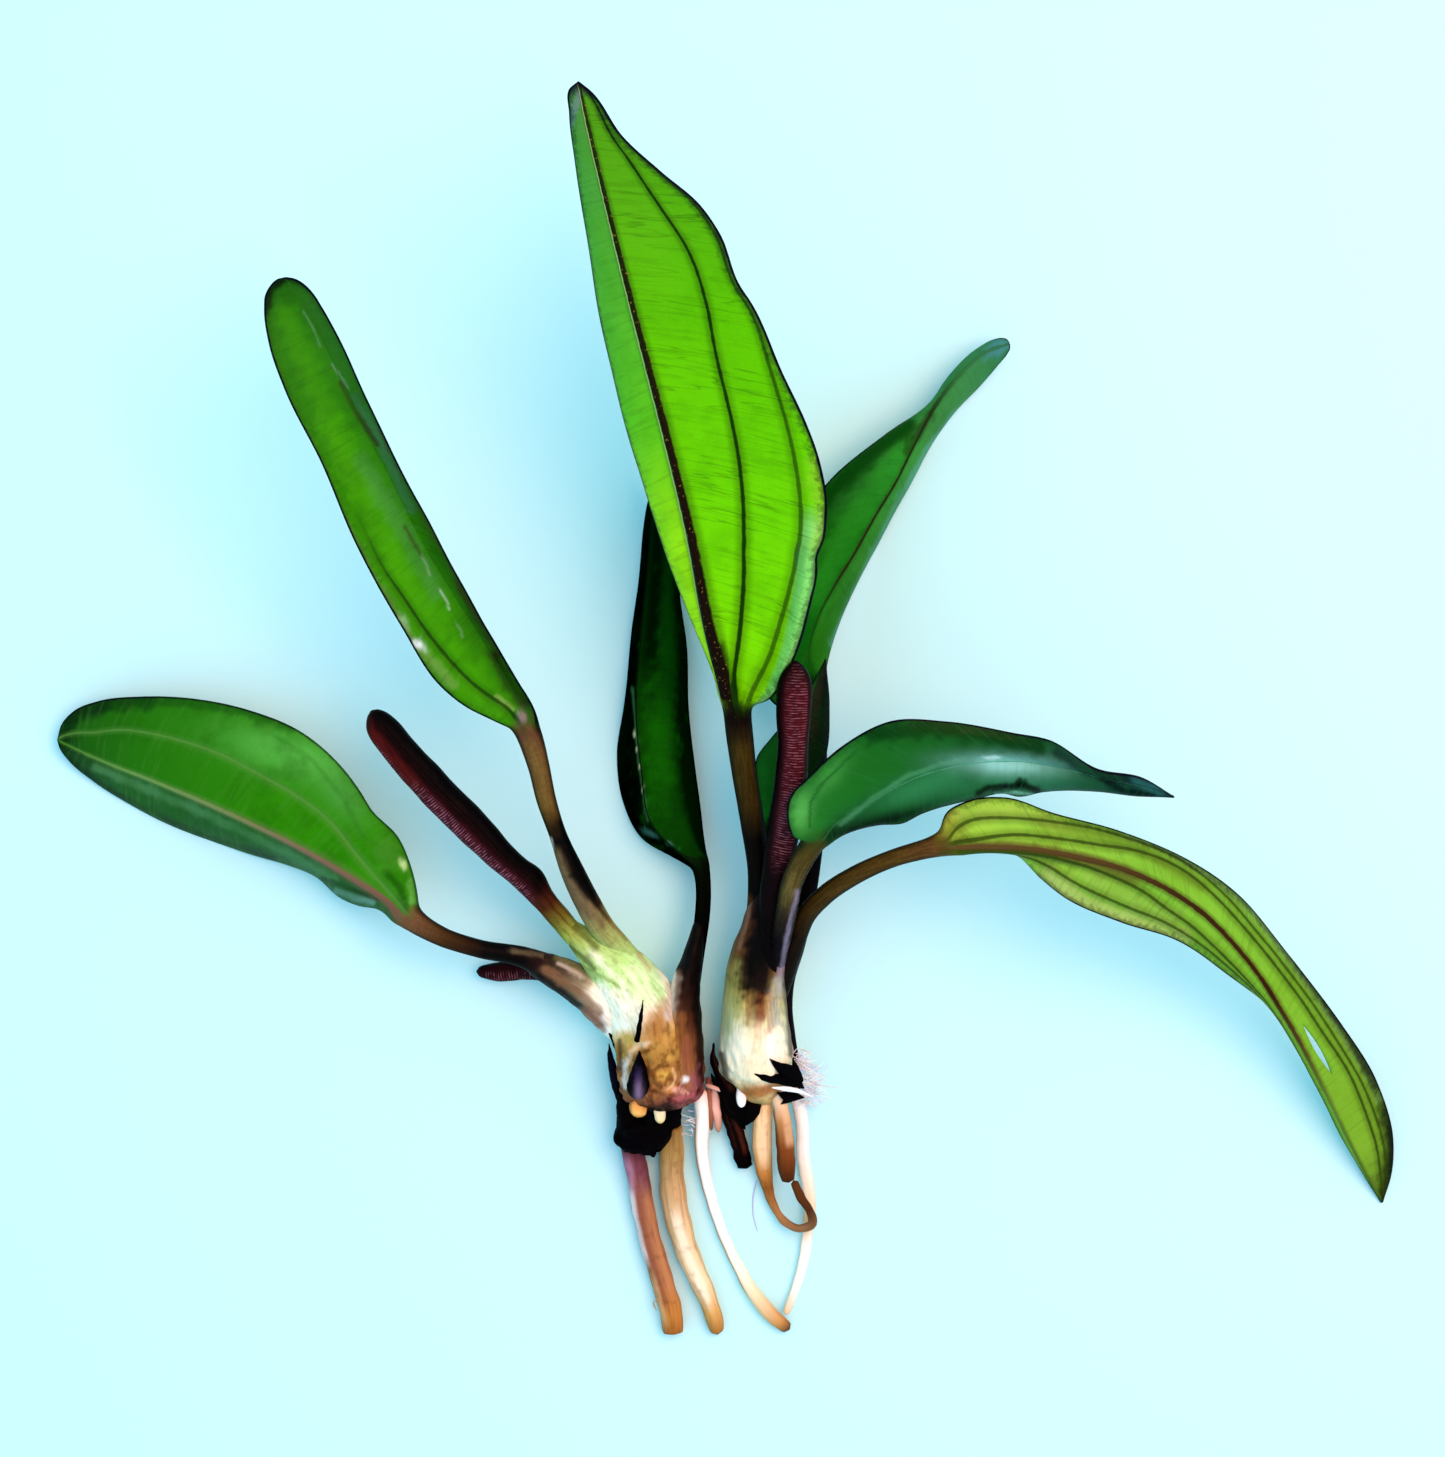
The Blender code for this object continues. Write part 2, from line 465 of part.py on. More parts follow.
def solid_length(name, stations, sides, colour, roughness, grow=0.0, count=None, helper=False):
    """A crown, root, rolled leaf or scale: rings of changing width along its route."""
    stations = np.array(stations, float)
    route = np.linalg.norm(np.diff(stations[:, :3], axis=0), axis=1).sum()
    count = count or max(4, round(route / TUBE_STEP) + 1)
    read = along(stations, np.linspace(0.0, 1.0, count))
    centres = real(read[:, :3])
    rings = elliptic_rings(centres, read[:, 3] + grow, read[:, 4] + grow, sides)
    if grow:
        ahead = unit(centres[1] - centres[0]), unit(centres[-1] - centres[-2])
        rings[0] -= ahead[0] * grow
        rings[-1] += ahead[1] * grow
    return skin(name, rings, colour, roughness, helper)


def open_leaf(name, leaf):
    """Petiole rings followed by blade rings, as one solid."""
    petiole = np.array(leaf["petiole"])
    length = np.linalg.norm(np.diff(petiole[:, :3], axis=0), axis=1).sum()
    read = along(petiole, np.linspace(0.0, 1.0, max(4, round(length / PETIOLE_STEP) + 1)))
    stem = elliptic_rings(real(read[:, :3]), read[:, 3], read[:, 3], 2 * HALF_RING)
    blade = blade_rings(leaf["left"], leaf["midrib"], leaf["right"], petiole[-1, 3])
    tip = np.repeat(real([leaf["midrib"][-1]])[:, None, :], 2 * HALF_RING, axis=1)
    tip = tip * 0.93 + blade[-1:] * 0.07
    rings = np.concatenate([stem, blade, tip])
    return skin(name, rings, COLOURS.get(name, GREEN), 0.35)


def keep_clear(obj, cutter):
    """Cuts the cutter out of the piece, so that it starts a gap away from its neighbour."""
    modifier = obj.modifiers.new("clear_of_" + cutter.name, "BOOLEAN")
    modifier.operation = "DIFFERENCE"
    modifier.solver = "EXACT"
    modifier.object = cutter


def build():
    clear_scene()
    clearances = {}
    for name, stations in CROWNS.items():
        solid_length(name, stations, CROWN_SIDES, PALE_SHEATH, 0.5, count=CROWN_STATIONS)
        clearances[name] = solid_length(
            name + "_clearance", stations, CROWN_SIDES, PALE_SHEATH, 0.5, GAP, CROWN_STATIONS, True
        )
    for name, leaf in LEAVES.items():
        keep_clear(open_leaf(name, leaf), clearances[leaf["crown"]])
    for name, stations in ROLLED_LEAVES.items():
        rolled = solid_length(name, stations, ROLLED_SIDES, MAROON, 0.35)
        for clearance in clearances.values():
            keep_clear(rolled, clearance)
    stump = DEAD_PIECES["dead_stump"]
    clearances["dead_stump"] = solid_length(
        "dead_stump_clearance", stump, ROOT_SIDES, DEAD_BLACK, 0.8, GAP, None, True
    )
    for name, stations in DEAD_PIECES.items():
        sides = ROOT_SIDES if name == "dead_stump" else SCALE_SIDES
        dead = solid_length(name, stations, sides, DEAD_BLACK, 0.8)
        for other, clearance in clearances.items():
            if other != name:
                keep_clear(dead, clearance)
    for name, stations in ROOTS.items():
        root = solid_length(name, stations, ROOT_SIDES, COLOURS.get(name, ROOT_TAN), 0.5)
        for clearance in clearances.values():
            keep_clear(root, clearance)


build()
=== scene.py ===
from functools import partial

import bmesh
import bpy
import numpy as np
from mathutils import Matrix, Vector


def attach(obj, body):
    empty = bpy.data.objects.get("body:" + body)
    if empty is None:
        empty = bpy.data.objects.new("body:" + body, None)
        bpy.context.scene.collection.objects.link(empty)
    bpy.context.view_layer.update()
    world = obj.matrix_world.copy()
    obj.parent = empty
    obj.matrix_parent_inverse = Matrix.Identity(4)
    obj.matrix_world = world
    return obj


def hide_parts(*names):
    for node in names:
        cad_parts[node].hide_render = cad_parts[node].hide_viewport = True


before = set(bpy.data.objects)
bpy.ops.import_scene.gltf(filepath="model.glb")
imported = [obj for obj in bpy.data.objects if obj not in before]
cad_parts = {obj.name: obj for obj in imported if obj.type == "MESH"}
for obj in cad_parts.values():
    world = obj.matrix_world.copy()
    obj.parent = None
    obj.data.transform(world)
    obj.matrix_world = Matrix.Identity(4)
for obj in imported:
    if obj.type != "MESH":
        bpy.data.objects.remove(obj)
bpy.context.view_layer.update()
print("frame loaded:", len(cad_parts), "nodes")

# Lengths are millimetres until a mesh is made. The x and y of every route are a plan, as seen
# by an eye straight above the plant, and z is a real height above the table.
mm = 0.001
eyeHeight = 320.0
planMiddle = np.array((0.2, -1.4, 0.0))  # the plan's own zero, moved to the middle of the plant
viewHeight = 145.7  # what the picture shows of the table, from its lower to its upper edge


def unit(vectors):
    # Each vector divided by its own length
    return vectors / np.maximum(np.linalg.norm(vectors, axis=-1, keepdims=True), 1e-12)


def toReal(points):
    # x and y times (1 - z / eye height): what stands higher looks further out than it is
    points = np.array(points, float)
    points[..., :2] *= 1.0 - points[..., 2:3] / eyeHeight
    return points - planMiddle


def toPlan(points):
    # The other way round: (x, y) divided by (1 - z / eye height)
    points = points + planMiddle
    return points[..., :2] / (1.0 - points[..., 2:3] / eyeHeight)


def smoothThrough(points, fractions):
    # One cubic for each span between two points, its end slopes those of the points around it.
    # Columns after x, y, z may be radii, and follow the same cubic.
    points = np.array(points, float)
    spans = np.linalg.norm(np.diff(points[:, :3], axis=0), axis=1)
    at = np.concatenate([[0.0], np.cumsum(spans)]) / spans.sum()
    slopes = np.gradient(points, at, axis=0)
    index = np.clip(np.searchsorted(at, fractions, side="right") - 1, 0, len(at) - 2)
    width = (at[index + 1] - at[index])[:, None]
    u = (fractions[:, None] - at[index][:, None]) / width
    start, end = points[index], points[index + 1]
    return (
        (2 * u**3 - 3 * u**2 + 1) * start
        + (u**3 - 2 * u**2 + u) * width * slopes[index]
        + (3 * u**2 - 2 * u**3) * end
        + (u**3 - u**2) * width * slopes[index + 1]
    )


def ease(value, low, high):
    # 0 below low, 1 above high, and 3x^2 - 2x^3 between them
    x = np.clip((value - low) / (high - low), 0.0, 1.0)
    return x * x * (3 - 2 * x)


def lengthAlong(points):
    # The running sum of the distances between neighbouring points
    steps = np.linalg.norm(np.diff(points, axis=0), axis=1)
    return np.concatenate([[0.0], np.cumsum(steps)])


noiseWaves, noiseHeight = 7, 4.0  # the waves in one soft noise, and how many in step make 1


def softNoise(points, size, seed):
    # A sum of sine waves in seeded directions, each about one size long: lumps mostly within 1
    waves = np.random.default_rng(seed)
    total = np.zeros(points.shape[:-1])
    for _ in range(noiseWaves):
        way = unit(waves.normal(size=points.shape[-1])) * 2 * np.pi / (size * waves.uniform(0.7, 1.6))
        total += np.sin(points @ way + waves.uniform(0, 2 * np.pi))
    return total / noiseHeight


def linear(hexColour):
    # sRGB hex to linear: c / 12.92 when dark, else ((c + 0.055) / 1.055) ^ 2.4
    parts = [int(hexColour[i : i + 2], 16) / 255 for i in (1, 3, 5)]
    return tuple(c / 12.92 if c <= 0.04045 else ((c + 0.055) / 1.055) ** 2.4 for c in parts) + (1.0,)


def rampTone(share, stops):
    # Straight from one colour to the next along the shares of the stops
    places = [place for place, _ in stops]
    colours = np.array([linear(colour)[:3] for _, colour in stops])
    return np.stack([np.interp(share, places, colours[:, k]) for k in range(3)], axis=-1)


def mixTone(tone, colour, share):
    # tone * (1 - share) + colour * share
    return tone * (1 - share) + np.array(linear(colour)[:3]) * share


def lineDistance(plan, path):
    # The distance to the nearest of the path's straight pieces
    nearest = np.full(plan.shape[:-1], np.inf)
    for a, b in zip(path[:-1], path[1:]):
        share = np.clip(((plan - a) @ (b - a)) / max(float((b - a) @ (b - a)), 1e-9), 0.0, 1.0)
        nearest = np.minimum(nearest, np.linalg.norm(plan - a - share[..., None] * (b - a), axis=-1))
    return nearest


unevenEdge = ((0.3, 1.5, 41), (0.15, 0.6, 42))  # amount, size in mm and seed, for a mark's edge


def paint(tone, points, marks, facing=1.0):
    # Marks placed in the plan: (kind, place, half width, colour, amount). A line follows a
    # path, a spot is an ellipse (half length, half width, turn). Each colour comes in by
    # amount * exp(-d ^ 3), d the distance in half widths, made uneven by noise. A glow is a spot
    # that fades evenly, by exp(-1.5 d ^ 2).
    # Among the marks are painted highlights, sheen and shade as well as the plant's own colours.
    plan = toPlan(points)
    uneven = 1.0
    for height, wave, seed in unevenEdge:
        uneven = uneven + height * softNoise(points, wave, seed)
    for kind, place, size, colour, amount in marks:
        if kind == "line":
            d = lineDistance(plan, np.array(place, float)) / size
        else:
            a = np.radians(size[2])
            dx, dy = plan[..., 0] - place[0], plan[..., 1] - place[1]
            d = np.hypot((dx * np.cos(a) + dy * np.sin(a)) / size[0],
                         (dy * np.cos(a) - dx * np.sin(a)) / size[1])
        fall = 1.5 * d**2 if kind == "glow" else np.abs(d * uneven) ** 3
        tone = mixTone(tone, colour, (amount * np.exp(-fall) * facing)[..., None])
    return tone


def ringFaces(rows, columns):
    # Quads between neighbouring rings, and a fan from each end ring to its own middle point
    row, column = np.meshgrid(np.arange(rows - 1), np.arange(columns), indexing="ij")
    here = (row * columns + column).ravel()
    after = (row * columns + (column + 1) % columns).ravel()
    quads = np.stack([here, after, after + columns, here + columns], axis=1)
    column = np.arange(columns)
    after = (column + 1) % columns
    last = (rows - 1) * columns
    first = np.stack([after, column, np.full(columns, rows * columns)], axis=1)
    end = np.stack([last + column, last + after, np.full(columns, rows * columns + 1)], axis=1)
    return quads.tolist() + first.tolist() + end.tolist()


def closedShell(rings, values):
    # rings is rows x columns x 3; values are arrays of the same rows and columns
    rows, columns = rings.shape[:2]
    ends = np.stack([rings[0].mean(axis=0), rings[-1].mean(axis=0)])
    points = np.concatenate([rings.reshape(-1, 3), ends])
    kept = {}
    for name, value in values.items():
        poles = np.stack([value[0].mean(axis=0), value[-1].mean(axis=0)])
        kept[name] = np.concatenate([value.reshape(rows * columns, -1), poles.reshape(2, -1)])
    return {"points": points, "faces": ringFaces(rows, columns), "values": kept}


def makePiece(name, shells, material, nodes=()):
    # Joins the shells into one mesh in metres, faces outwards, nothing under the table
    points, faces, count = [], [], 0
    for shell in shells:
        points.append(shell["points"])
        faces += [[corner + count for corner in face] for face in shell["faces"]]
        count += len(shell["points"])
    points = np.concatenate(points)
    points[:, 2] = np.maximum(points[:, 2], 0.0)
    mesh = bpy.data.meshes.new(name)
    mesh.from_pydata((points * mm).tolist(), [], faces)
    work = bmesh.new()
    work.from_mesh(mesh)
    bmesh.ops.recalc_face_normals(work, faces=work.faces)
    work.to_mesh(mesh)
    work.free()
    for key in shells[0]["values"]:
        data = np.concatenate([shell["values"][key] for shell in shells]).astype(np.float32)
        kind = "FLOAT_VECTOR" if data.shape[1] == 3 else "FLOAT"
        attribute = mesh.attributes.new(key, kind, "POINT")
        attribute.data.foreach_set("vector" if kind == "FLOAT_VECTOR" else "value", data.ravel())
    mesh.shade_smooth()
    mesh.materials.append(material)
    piece = bpy.data.objects.new(name, mesh)
    bpy.context.scene.collection.objects.link(piece)
    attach(piece, "root")
    if nodes:
        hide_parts(*nodes)
    return piece


def addNode(tree, kind, *feeds, out=0, named=None, stops=None, **settings):
    # One node: its inputs in order (None leaves one alone), then by name; gives back one output
    node = tree.nodes.new("ShaderNode" + kind)
    for key, value in settings.items():
        setattr(node, key, value)
    for key, value in list(enumerate(feeds)) + list((named or {}).items()):
        if isinstance(value, bpy.types.NodeSocket):
            tree.links.new(value, node.inputs[key])
        elif value is not None:
            node.inputs[key].default_value = value
    for index, (place, colour) in enumerate(stops or ()):
        elements = node.color_ramp.elements
        element = elements[index] if index < 2 else elements.new(place)
        element.position = place
        element.color = linear(colour)
    return node.outputs[out] if node.outputs else None


def newMaterial(name):
    # A material whose node tree is still empty
    material = bpy.data.materials.new(name)
    material.use_nodes = True
    material.node_tree.nodes.clear()
    return material, material.node_tree


soft = {"interpolation_type": "SMOOTHSTEP"}
tissueIor = 1.4  # wet plant tissue
skinGrains = {"fine": 1.4, "cloud": 0.24, "speck": 3.6, "relief": 2.6}  # grains in a millimetre
stalkShade = (0.3, 0.24, 0.18, 1.0)  # what the streaks and rings of a petiole multiply it by


def leafMaterial(look, bladeLength, bands):
    # Living leaf tissue: a waxy skin over green flesh, which gives a soft sheen and lets light
    # through. Its colour is painted on the points; the long veins, the fine cross veins and the
    # dark margin follow the leaf's own grid, in millimetres. The cross veins are finer in life and
    # are drawn as coarse as they need to show.
    material, tree = newMaterial(look["name"])
    put = partial(addNode, tree)
    grid = put("Attribute", attribute_name="leafGrid", out=1)
    place = put("Attribute", attribute_name="leafPlace", out=1)
    tone = put("Attribute", attribute_name="tone", out=0)
    vein = put("SeparateXYZ", grid, out=0)  # the number of the vein
    along = put("SeparateXYZ", grid, out=1)  # mm from the petiole's end
    gap = put("SeparateXYZ", grid, out=2)  # mm between two veins
    across = put("SeparateXYZ", place, out=0)
    toMargin = put("SeparateXYZ", place, out=1)
    face = put("SeparateXYZ", place, out=2)  # 1 on the upper side, 0 on the lower
    spot = put("TexCoord", out=3)
    fine = put("TexNoise", spot, None, skinGrains["fine"] / mm, 3.0)
    wander = put("MapRange", fine, 0.0, 1.0, -0.08, 0.08)
    share = put("MapRange", along, 0.0, bladeLength)
    number = put("Math", vein, operation="ROUND")
    offset = put("Math", vein, number, operation="SUBTRACT")
    distance = put("Math", offset, gap, operation="MULTIPLY")
    distance = put("Math", distance, operation="ABSOLUTE")
    distance = put("Math", distance, wander, operation="ADD")
    isMidrib = put("Math", number, 0.0, 0.1, operation="COMPARE")
    inRight = put("Math", number, bands[1] - 0.5, operation="LESS_THAN")
    inLeft = put("Math", number, 0.5 - bands[-1], operation="GREATER_THAN")
    isLateral = put("Math", inRight, inLeft, operation="MULTIPLY")
    isLateral = put("Math", isLateral, isMidrib, operation="SUBTRACT")
    outer = put("Math", number, operation="ABSOLUTE")
    outer = put("MapRange", outer, 1.0, 2.0, 1.0, look["outerVein"])
    isLateral = put("Math", isLateral, outer, operation="MULTIPLY")
    ended = put("MapRange", share, look["veinEnd"] - 0.2, look["veinEnd"], 1.0, 0.0)
    isLateral = put("Math", isLateral, ended, operation="MULTIPLY")

    # the flesh: mottled by soft clouds, with a fine grain drawn out across the blade
    cloud = put("TexNoise", spot, None, skinGrains["cloud"] / mm, 5.0, 0.62)
    cloud = put("MapRange", cloud, 0.4, 0.68, 0.0, look["mottle"], **soft)
    colour = put("MixRGB", cloud, tone, linear(look["deep"]))
    sideways = put("Math", across, operation="ABSOLUTE")
    slant = put("Math", sideways, look["slant"], along, operation="MULTIPLY_ADD")
    wide = put("Math", across, 0.08, operation="MULTIPLY")
    drawn = put("CombineXYZ", wide, slant, face)
    grain = put("TexNoise", drawn, None, 2.6, 3.0)
    grain = put("MapRange", grain, 0.5, 0.7, 0.0, look["grain"], **soft)
    colour = put("MixRGB", grain, colour, linear(look["vein"]))

    # the cross veins: broken contour lines of a noise that is drawn out the same way
    contour = put("TexNoise", drawn, None, 1 / look["netGap"], 1.0)
    contour = put("Math", contour, 0.5, operation="SUBTRACT")
    contour = put("Math", contour, operation="ABSOLUTE")
    netLine = put("MapRange", contour, 0.0, 0.03, 1.0, 0.0, **soft)
    broken = put("TexNoise", drawn, None, 0.5, 2.0)
    broken = put("MapRange", broken, 0.42, 0.6, 0.1, 1.0, **soft)
    netLine = put("Math", netLine, broken, operation="MULTIPLY")
    onSide = put("MapRange", vein, -0.06, 0.0, look["leftNet"], 1.0)
    netLine = put("Math", netLine, onSide, operation="MULTIPLY")
    netShare = put("Math", netLine, look["net"], operation="MULTIPLY")
    colour = put("MixRGB", netShare, colour, linear(look["vein"]))

    # the long veins, each with a soft halo
    width = put("MapRange", share, 0.0, 1.0, *look["veinWidth"])
    thin = put("Math", distance, width, operation="DIVIDE")
    for low, high, amount in ((1.0, 4.5, look["halo"]), (0.45, 1.15, look["veinShare"])):
        line = put("MapRange", thin, low, high, amount, 0.0, **soft)
        line = put("Math", line, isLateral, operation="MULTIPLY")
        colour = put("MixRGB", line, colour, linear(look["vein"]))
    ribColour = put("ValToRGB", share, stops=look["midrib"])
    speck = put("TexNoise", spot, None, skinGrains["speck"] / mm, 1.0)
    speck = put("MapRange", speck, 0.66, 0.74, 0.0, look["speck"], **soft)
    ribColour = put("MixRGB", speck, ribColour, linear(look["speckColour"]))
    ribWidth = put("MapRange", share, 0.0, 1.0, *look["ribWidth"])
    thin = put("Math", distance, ribWidth, operation="DIVIDE")
    for low, high, amount in ((1.0, 3.2, look["ribHalo"]), (0.75, 1.2, 1.0)):
        line = put("MapRange", thin, low, high, amount, 0.0, **soft)
        line = put("Math", line, isMidrib, operation="MULTIPLY")
        colour = put("MixRGB", line, colour, ribColour)
    # a pale line just left of the midrib: a painted highlight along its raised ridge
    onLeft = put("Math", offset, 0.0, operation="LESS_THAN")
    ribHighlight = put("Math", thin, 1.35, 0.22, operation="COMPARE")
    ribHighlight = put("Math", ribHighlight, onLeft, operation="MULTIPLY")
    ribHighlight = put("Math", ribHighlight, isMidrib, operation="MULTIPLY")
    ribHighlight = put("Math", ribHighlight, look["ribHighlight"], operation="MULTIPLY")
    colour = put("MixRGB", ribHighlight, colour, linear(look["ribHighlightColour"]))

    # the margin: a dark line, and a shade inside it whose edge is ragged
    ragged = put("CombineXYZ", toMargin, along, face)
    ragged = put("TexNoise", ragged, None, 1.9, 4.0, 0.7)
    ragged = put("MapRange", ragged, 0.3, 0.7, 0.25, 1.5)
    near = put("Math", toMargin, ragged, operation="DIVIDE")
    hatch = put("MapRange", near, 0.1, look["hatchWidth"], look["hatch"], 0.0, **soft)
    edge = put("Math", toMargin, wander, operation="ADD")
    edge = put("MapRange", edge, 0.6 * look["marginWidth"], 1.5 * look["marginWidth"], 1.0, 0.0,
               **soft)
    edge = put("Math", edge, hatch, operation="MAXIMUM")
    fade = put("MapRange", share, 0.0, 1.0, *look["marginShare"])
    edge = put("Math", edge, fade, operation="MULTIPLY")
    colour = put("MixRGB", edge, colour, linear(look["margin"]))

    # the petiole: streaks along it and faint rings across it
    streak = put("Math", across, 2.6, operation="MULTIPLY")
    streakAlong = put("Math", along, 0.3, operation="MULTIPLY")
    streak = put("CombineXYZ", streak, streakAlong, face)
    streak = put("TexNoise", streak, None, 1.7, 4.0)
    streak = put("MapRange", streak, 0.6, 0.4, 0.0, look["streak"], **soft)
    stalk = put("MixRGB", streak, tone, stalkShade, blend_type="MULTIPLY")
    ringed = put("Math", along, 3.0, operation="MULTIPLY")
    ringed = put("CombineXYZ", across, ringed, face)
    ringed = put("TexNoise", ringed, None, 1.5, 2.0)
    ringed = put("MapRange", ringed, 0.6, 0.44, 0.0, 0.15, **soft)
    stalk = put("MixRGB", ringed, stalk, stalkShade, blend_type="MULTIPLY")
    onBlade = put("MapRange", along, -0.5, 1.2, **soft)
    colour = put("MixRGB", onBlade, stalk, colour)

    # relief: the cross veins pressed in a little, and the fine grain of the skin
    relief = put("TexNoise", spot, None, skinGrains["relief"] / mm, 2.0)
    relief = put("Math", netLine, -0.8, relief, operation="MULTIPLY_ADD")
    bump = put("Bump", named={"Height": relief, "Strength": 0.35, "Distance": 0.12 * mm})
    gloss = put("MapRange", fine, 0.3, 0.7, look["rough"] - 0.08, look["rough"] + 0.08)
    skin = put("BsdfPrincipled", named={"Base Color": colour, "Roughness": gloss, "IOR": tissueIor,
                                        "Specular IOR Level": look["shine"], "Normal": bump})
    glow = put("BsdfTranslucent", named={"Color": colour, "Normal": bump})
    both = put("MixShader", look["through"], skin, glow)
    put("OutputMaterial", both)
    return material


fibreLight = (1.6, 1.6, 1.5, 1.0)  # what the pale fibres multiply the colour by


def tissueMaterial(look):
    # Root, sheath or rolled leaf: long fibres under a thin moist skin, which give fine streaks and
    # a broken sheen. Its colour is painted on the points; the fibres and rings follow the piece's
    # own length, in millimetres.
    material, tree = newMaterial(look["name"])
    put = partial(addNode, tree)
    tone = put("Attribute", attribute_name="tone", out=0)
    wrap = put("Attribute", attribute_name="wrap", out=1)  # mm round the tube, and mm along it
    finish = put("Attribute", attribute_name="finish", out=1)
    ringAmount = put("SeparateXYZ", finish, out=0)
    fibreAmount = put("SeparateXYZ", finish, out=1)
    stretched = put("VectorMath", wrap, (1.0, 1.0, look["fibreStretch"]), operation="MULTIPLY")
    fibre = put("TexNoise", stretched, None, 1 / look["fibre"], 4.0, 0.6)
    dark = put("MapRange", fibre, 0.52, 0.36, 0.0, look["fibreDark"], **soft)
    dark = put("Math", dark, fibreAmount, operation="MULTIPLY")
    colour = put("MixRGB", dark, tone, linear(look["deep"]), blend_type="MULTIPLY")
    pale = put("MapRange", fibre, 0.54, 0.72, 0.0, look["fibrePale"], **soft)
    pale = put("Math", pale, fibreAmount, operation="MULTIPLY")
    colour = put("MixRGB", pale, colour, fibreLight, blend_type="MULTIPLY", use_clamp=True)
    blotch = put("TexNoise", wrap, None, 0.9, 4.0)
    blotch = put("MapRange", blotch, 0.52, 0.75, 0.0, look["blotch"], **soft)
    colour = put("MixRGB", blotch, colour, linear(look["deep"]), blend_type="MULTIPLY")

    # fine rings across, uneven and broken
    bent = put("TexNoise", wrap, None, 0.8, 1.0)
    length = put("SeparateXYZ", wrap, out=2)
    ring = put("Math", bent, look["ringBend"], length, operation="MULTIPLY_ADD")
    ring = put("Math", ring, 2 * np.pi / look["ringGap"], operation="MULTIPLY")
    ring = put("Math", ring, operation="SINE")
    ring = put("MapRange", ring, -0.2, 0.7, **soft)
    dashes = put("VectorMath", wrap, (1.0, 1.0, 2.0), operation="MULTIPLY")
    broken = put("TexNoise", dashes, None, 1.6, 2.0)
    broken = put("MapRange", broken, 0.4, 0.58, 0.1, 1.0, **soft)
    ring = put("Math", ring, broken, operation="MULTIPLY")
    ringShare = put("Math", ring, ringAmount, operation="MULTIPLY", use_clamp=True)
    colour = put("MixRGB", ringShare, colour, linear(look["ring"]))

    relief = put("Math", ring, look["ringBump"], fibre, operation="MULTIPLY_ADD")
    bump = put("Bump", named={"Height": relief, "Strength": look["bump"], "Distance": 0.15 * mm})
    gloss = put("MapRange", fibre, 0.3, 0.7, look["rough"] - 0.1, look["rough"] + 0.1)
    skin = put("BsdfPrincipled", named={"Base Color": colour, "Roughness": gloss, "IOR": tissueIor,
                                        "Specular IOR Level": look["shine"], "Normal": bump})
    put("OutputMaterial", skin)
    return material


bladeShape = {
    "half": 0.17,  # half the thickness of a blade
    "stemStep": 0.4,  # between two rings of a petiole
    "blendRows": 9, "blendTimes": 14,  # how the rows on each side of the petiole's end are smoothed
    "blendLength": 1.6,  # over which the petiole's section turns into the blade's
    "turn": 0.18,  # share of a half width over which the surface turns at the midrib
    "veinHalf": 0.35,  # half the width of a side vein's relief
    "uneven": (0.1, 7.0, 5),  # height, size and seed of the soft unevenness
    "sideShade": 0.85, "underShare": 0.4,
}


def crowdEnds(even, amount):
    # Even shares drawn towards both ends: (1 - amount) * s + amount * (1 - cos(pi s)) / 2
    return (1 - amount) * even + amount * (1 - np.cos(np.pi * even)) / 2


def bladeKnots(veins, midrib, margin, t):
    # For each row: 0 at the midrib, 1 at the margin, and between them the share of the half
    # width at which each vein's path in the plan crosses the row, evened out over nine rows
    samples, reachable, evenRows = 500, 0.2, 9
    inner, way = toPlan(midrib)[:, None], (toPlan(margin) - toPlan(midrib))[:, None]
    reach = np.sum(way**2, axis=2)
    every = np.arange(len(t))
    rows = [np.zeros(len(t))]
    for vein in veins:
        path = smoothThrough([(x, y, 0.0) for x, y in vein], np.linspace(0.0, 1.0, samples))[:, :2]
        to = path - inner
        share = np.sum(to * way, axis=2) / reach
        off = np.abs(way[..., 0] * to[..., 1] - way[..., 1] * to[..., 0]) / np.sqrt(reach)
        off = np.where((share > 0.0) & (share < 1.0), off, np.inf)
        best = np.argmin(off, axis=1)
        found = off[every, best] < reachable
        share = np.interp(t, t[found], share[every, best][found])
        padded = np.pad(share, evenRows // 2, mode="edge")
        share = np.convolve(padded, np.ones(evenRows) / evenRows, "valid")
        rows.append(np.clip(share, rows[-1] + 0.02, 0.96 + 0.01 * len(rows)))
    return np.stack(rows + [np.ones(len(t))], axis=1)


def softBox(t, u, box):
    # 1 inside the box of shares along and across, falling off smoothly over its soft edges
    (t0, t1), (u0, u1), (st, su) = box["along"], box["across"], box["soft"]
    return (
        ease(t, t0 - st, t0 + st) * (1 - ease(t, t1 - st, t1 + st))
        * ease(u, u0 - su, u0 + su) * (1 - ease(u, u1 - su, u1 + su))
    )


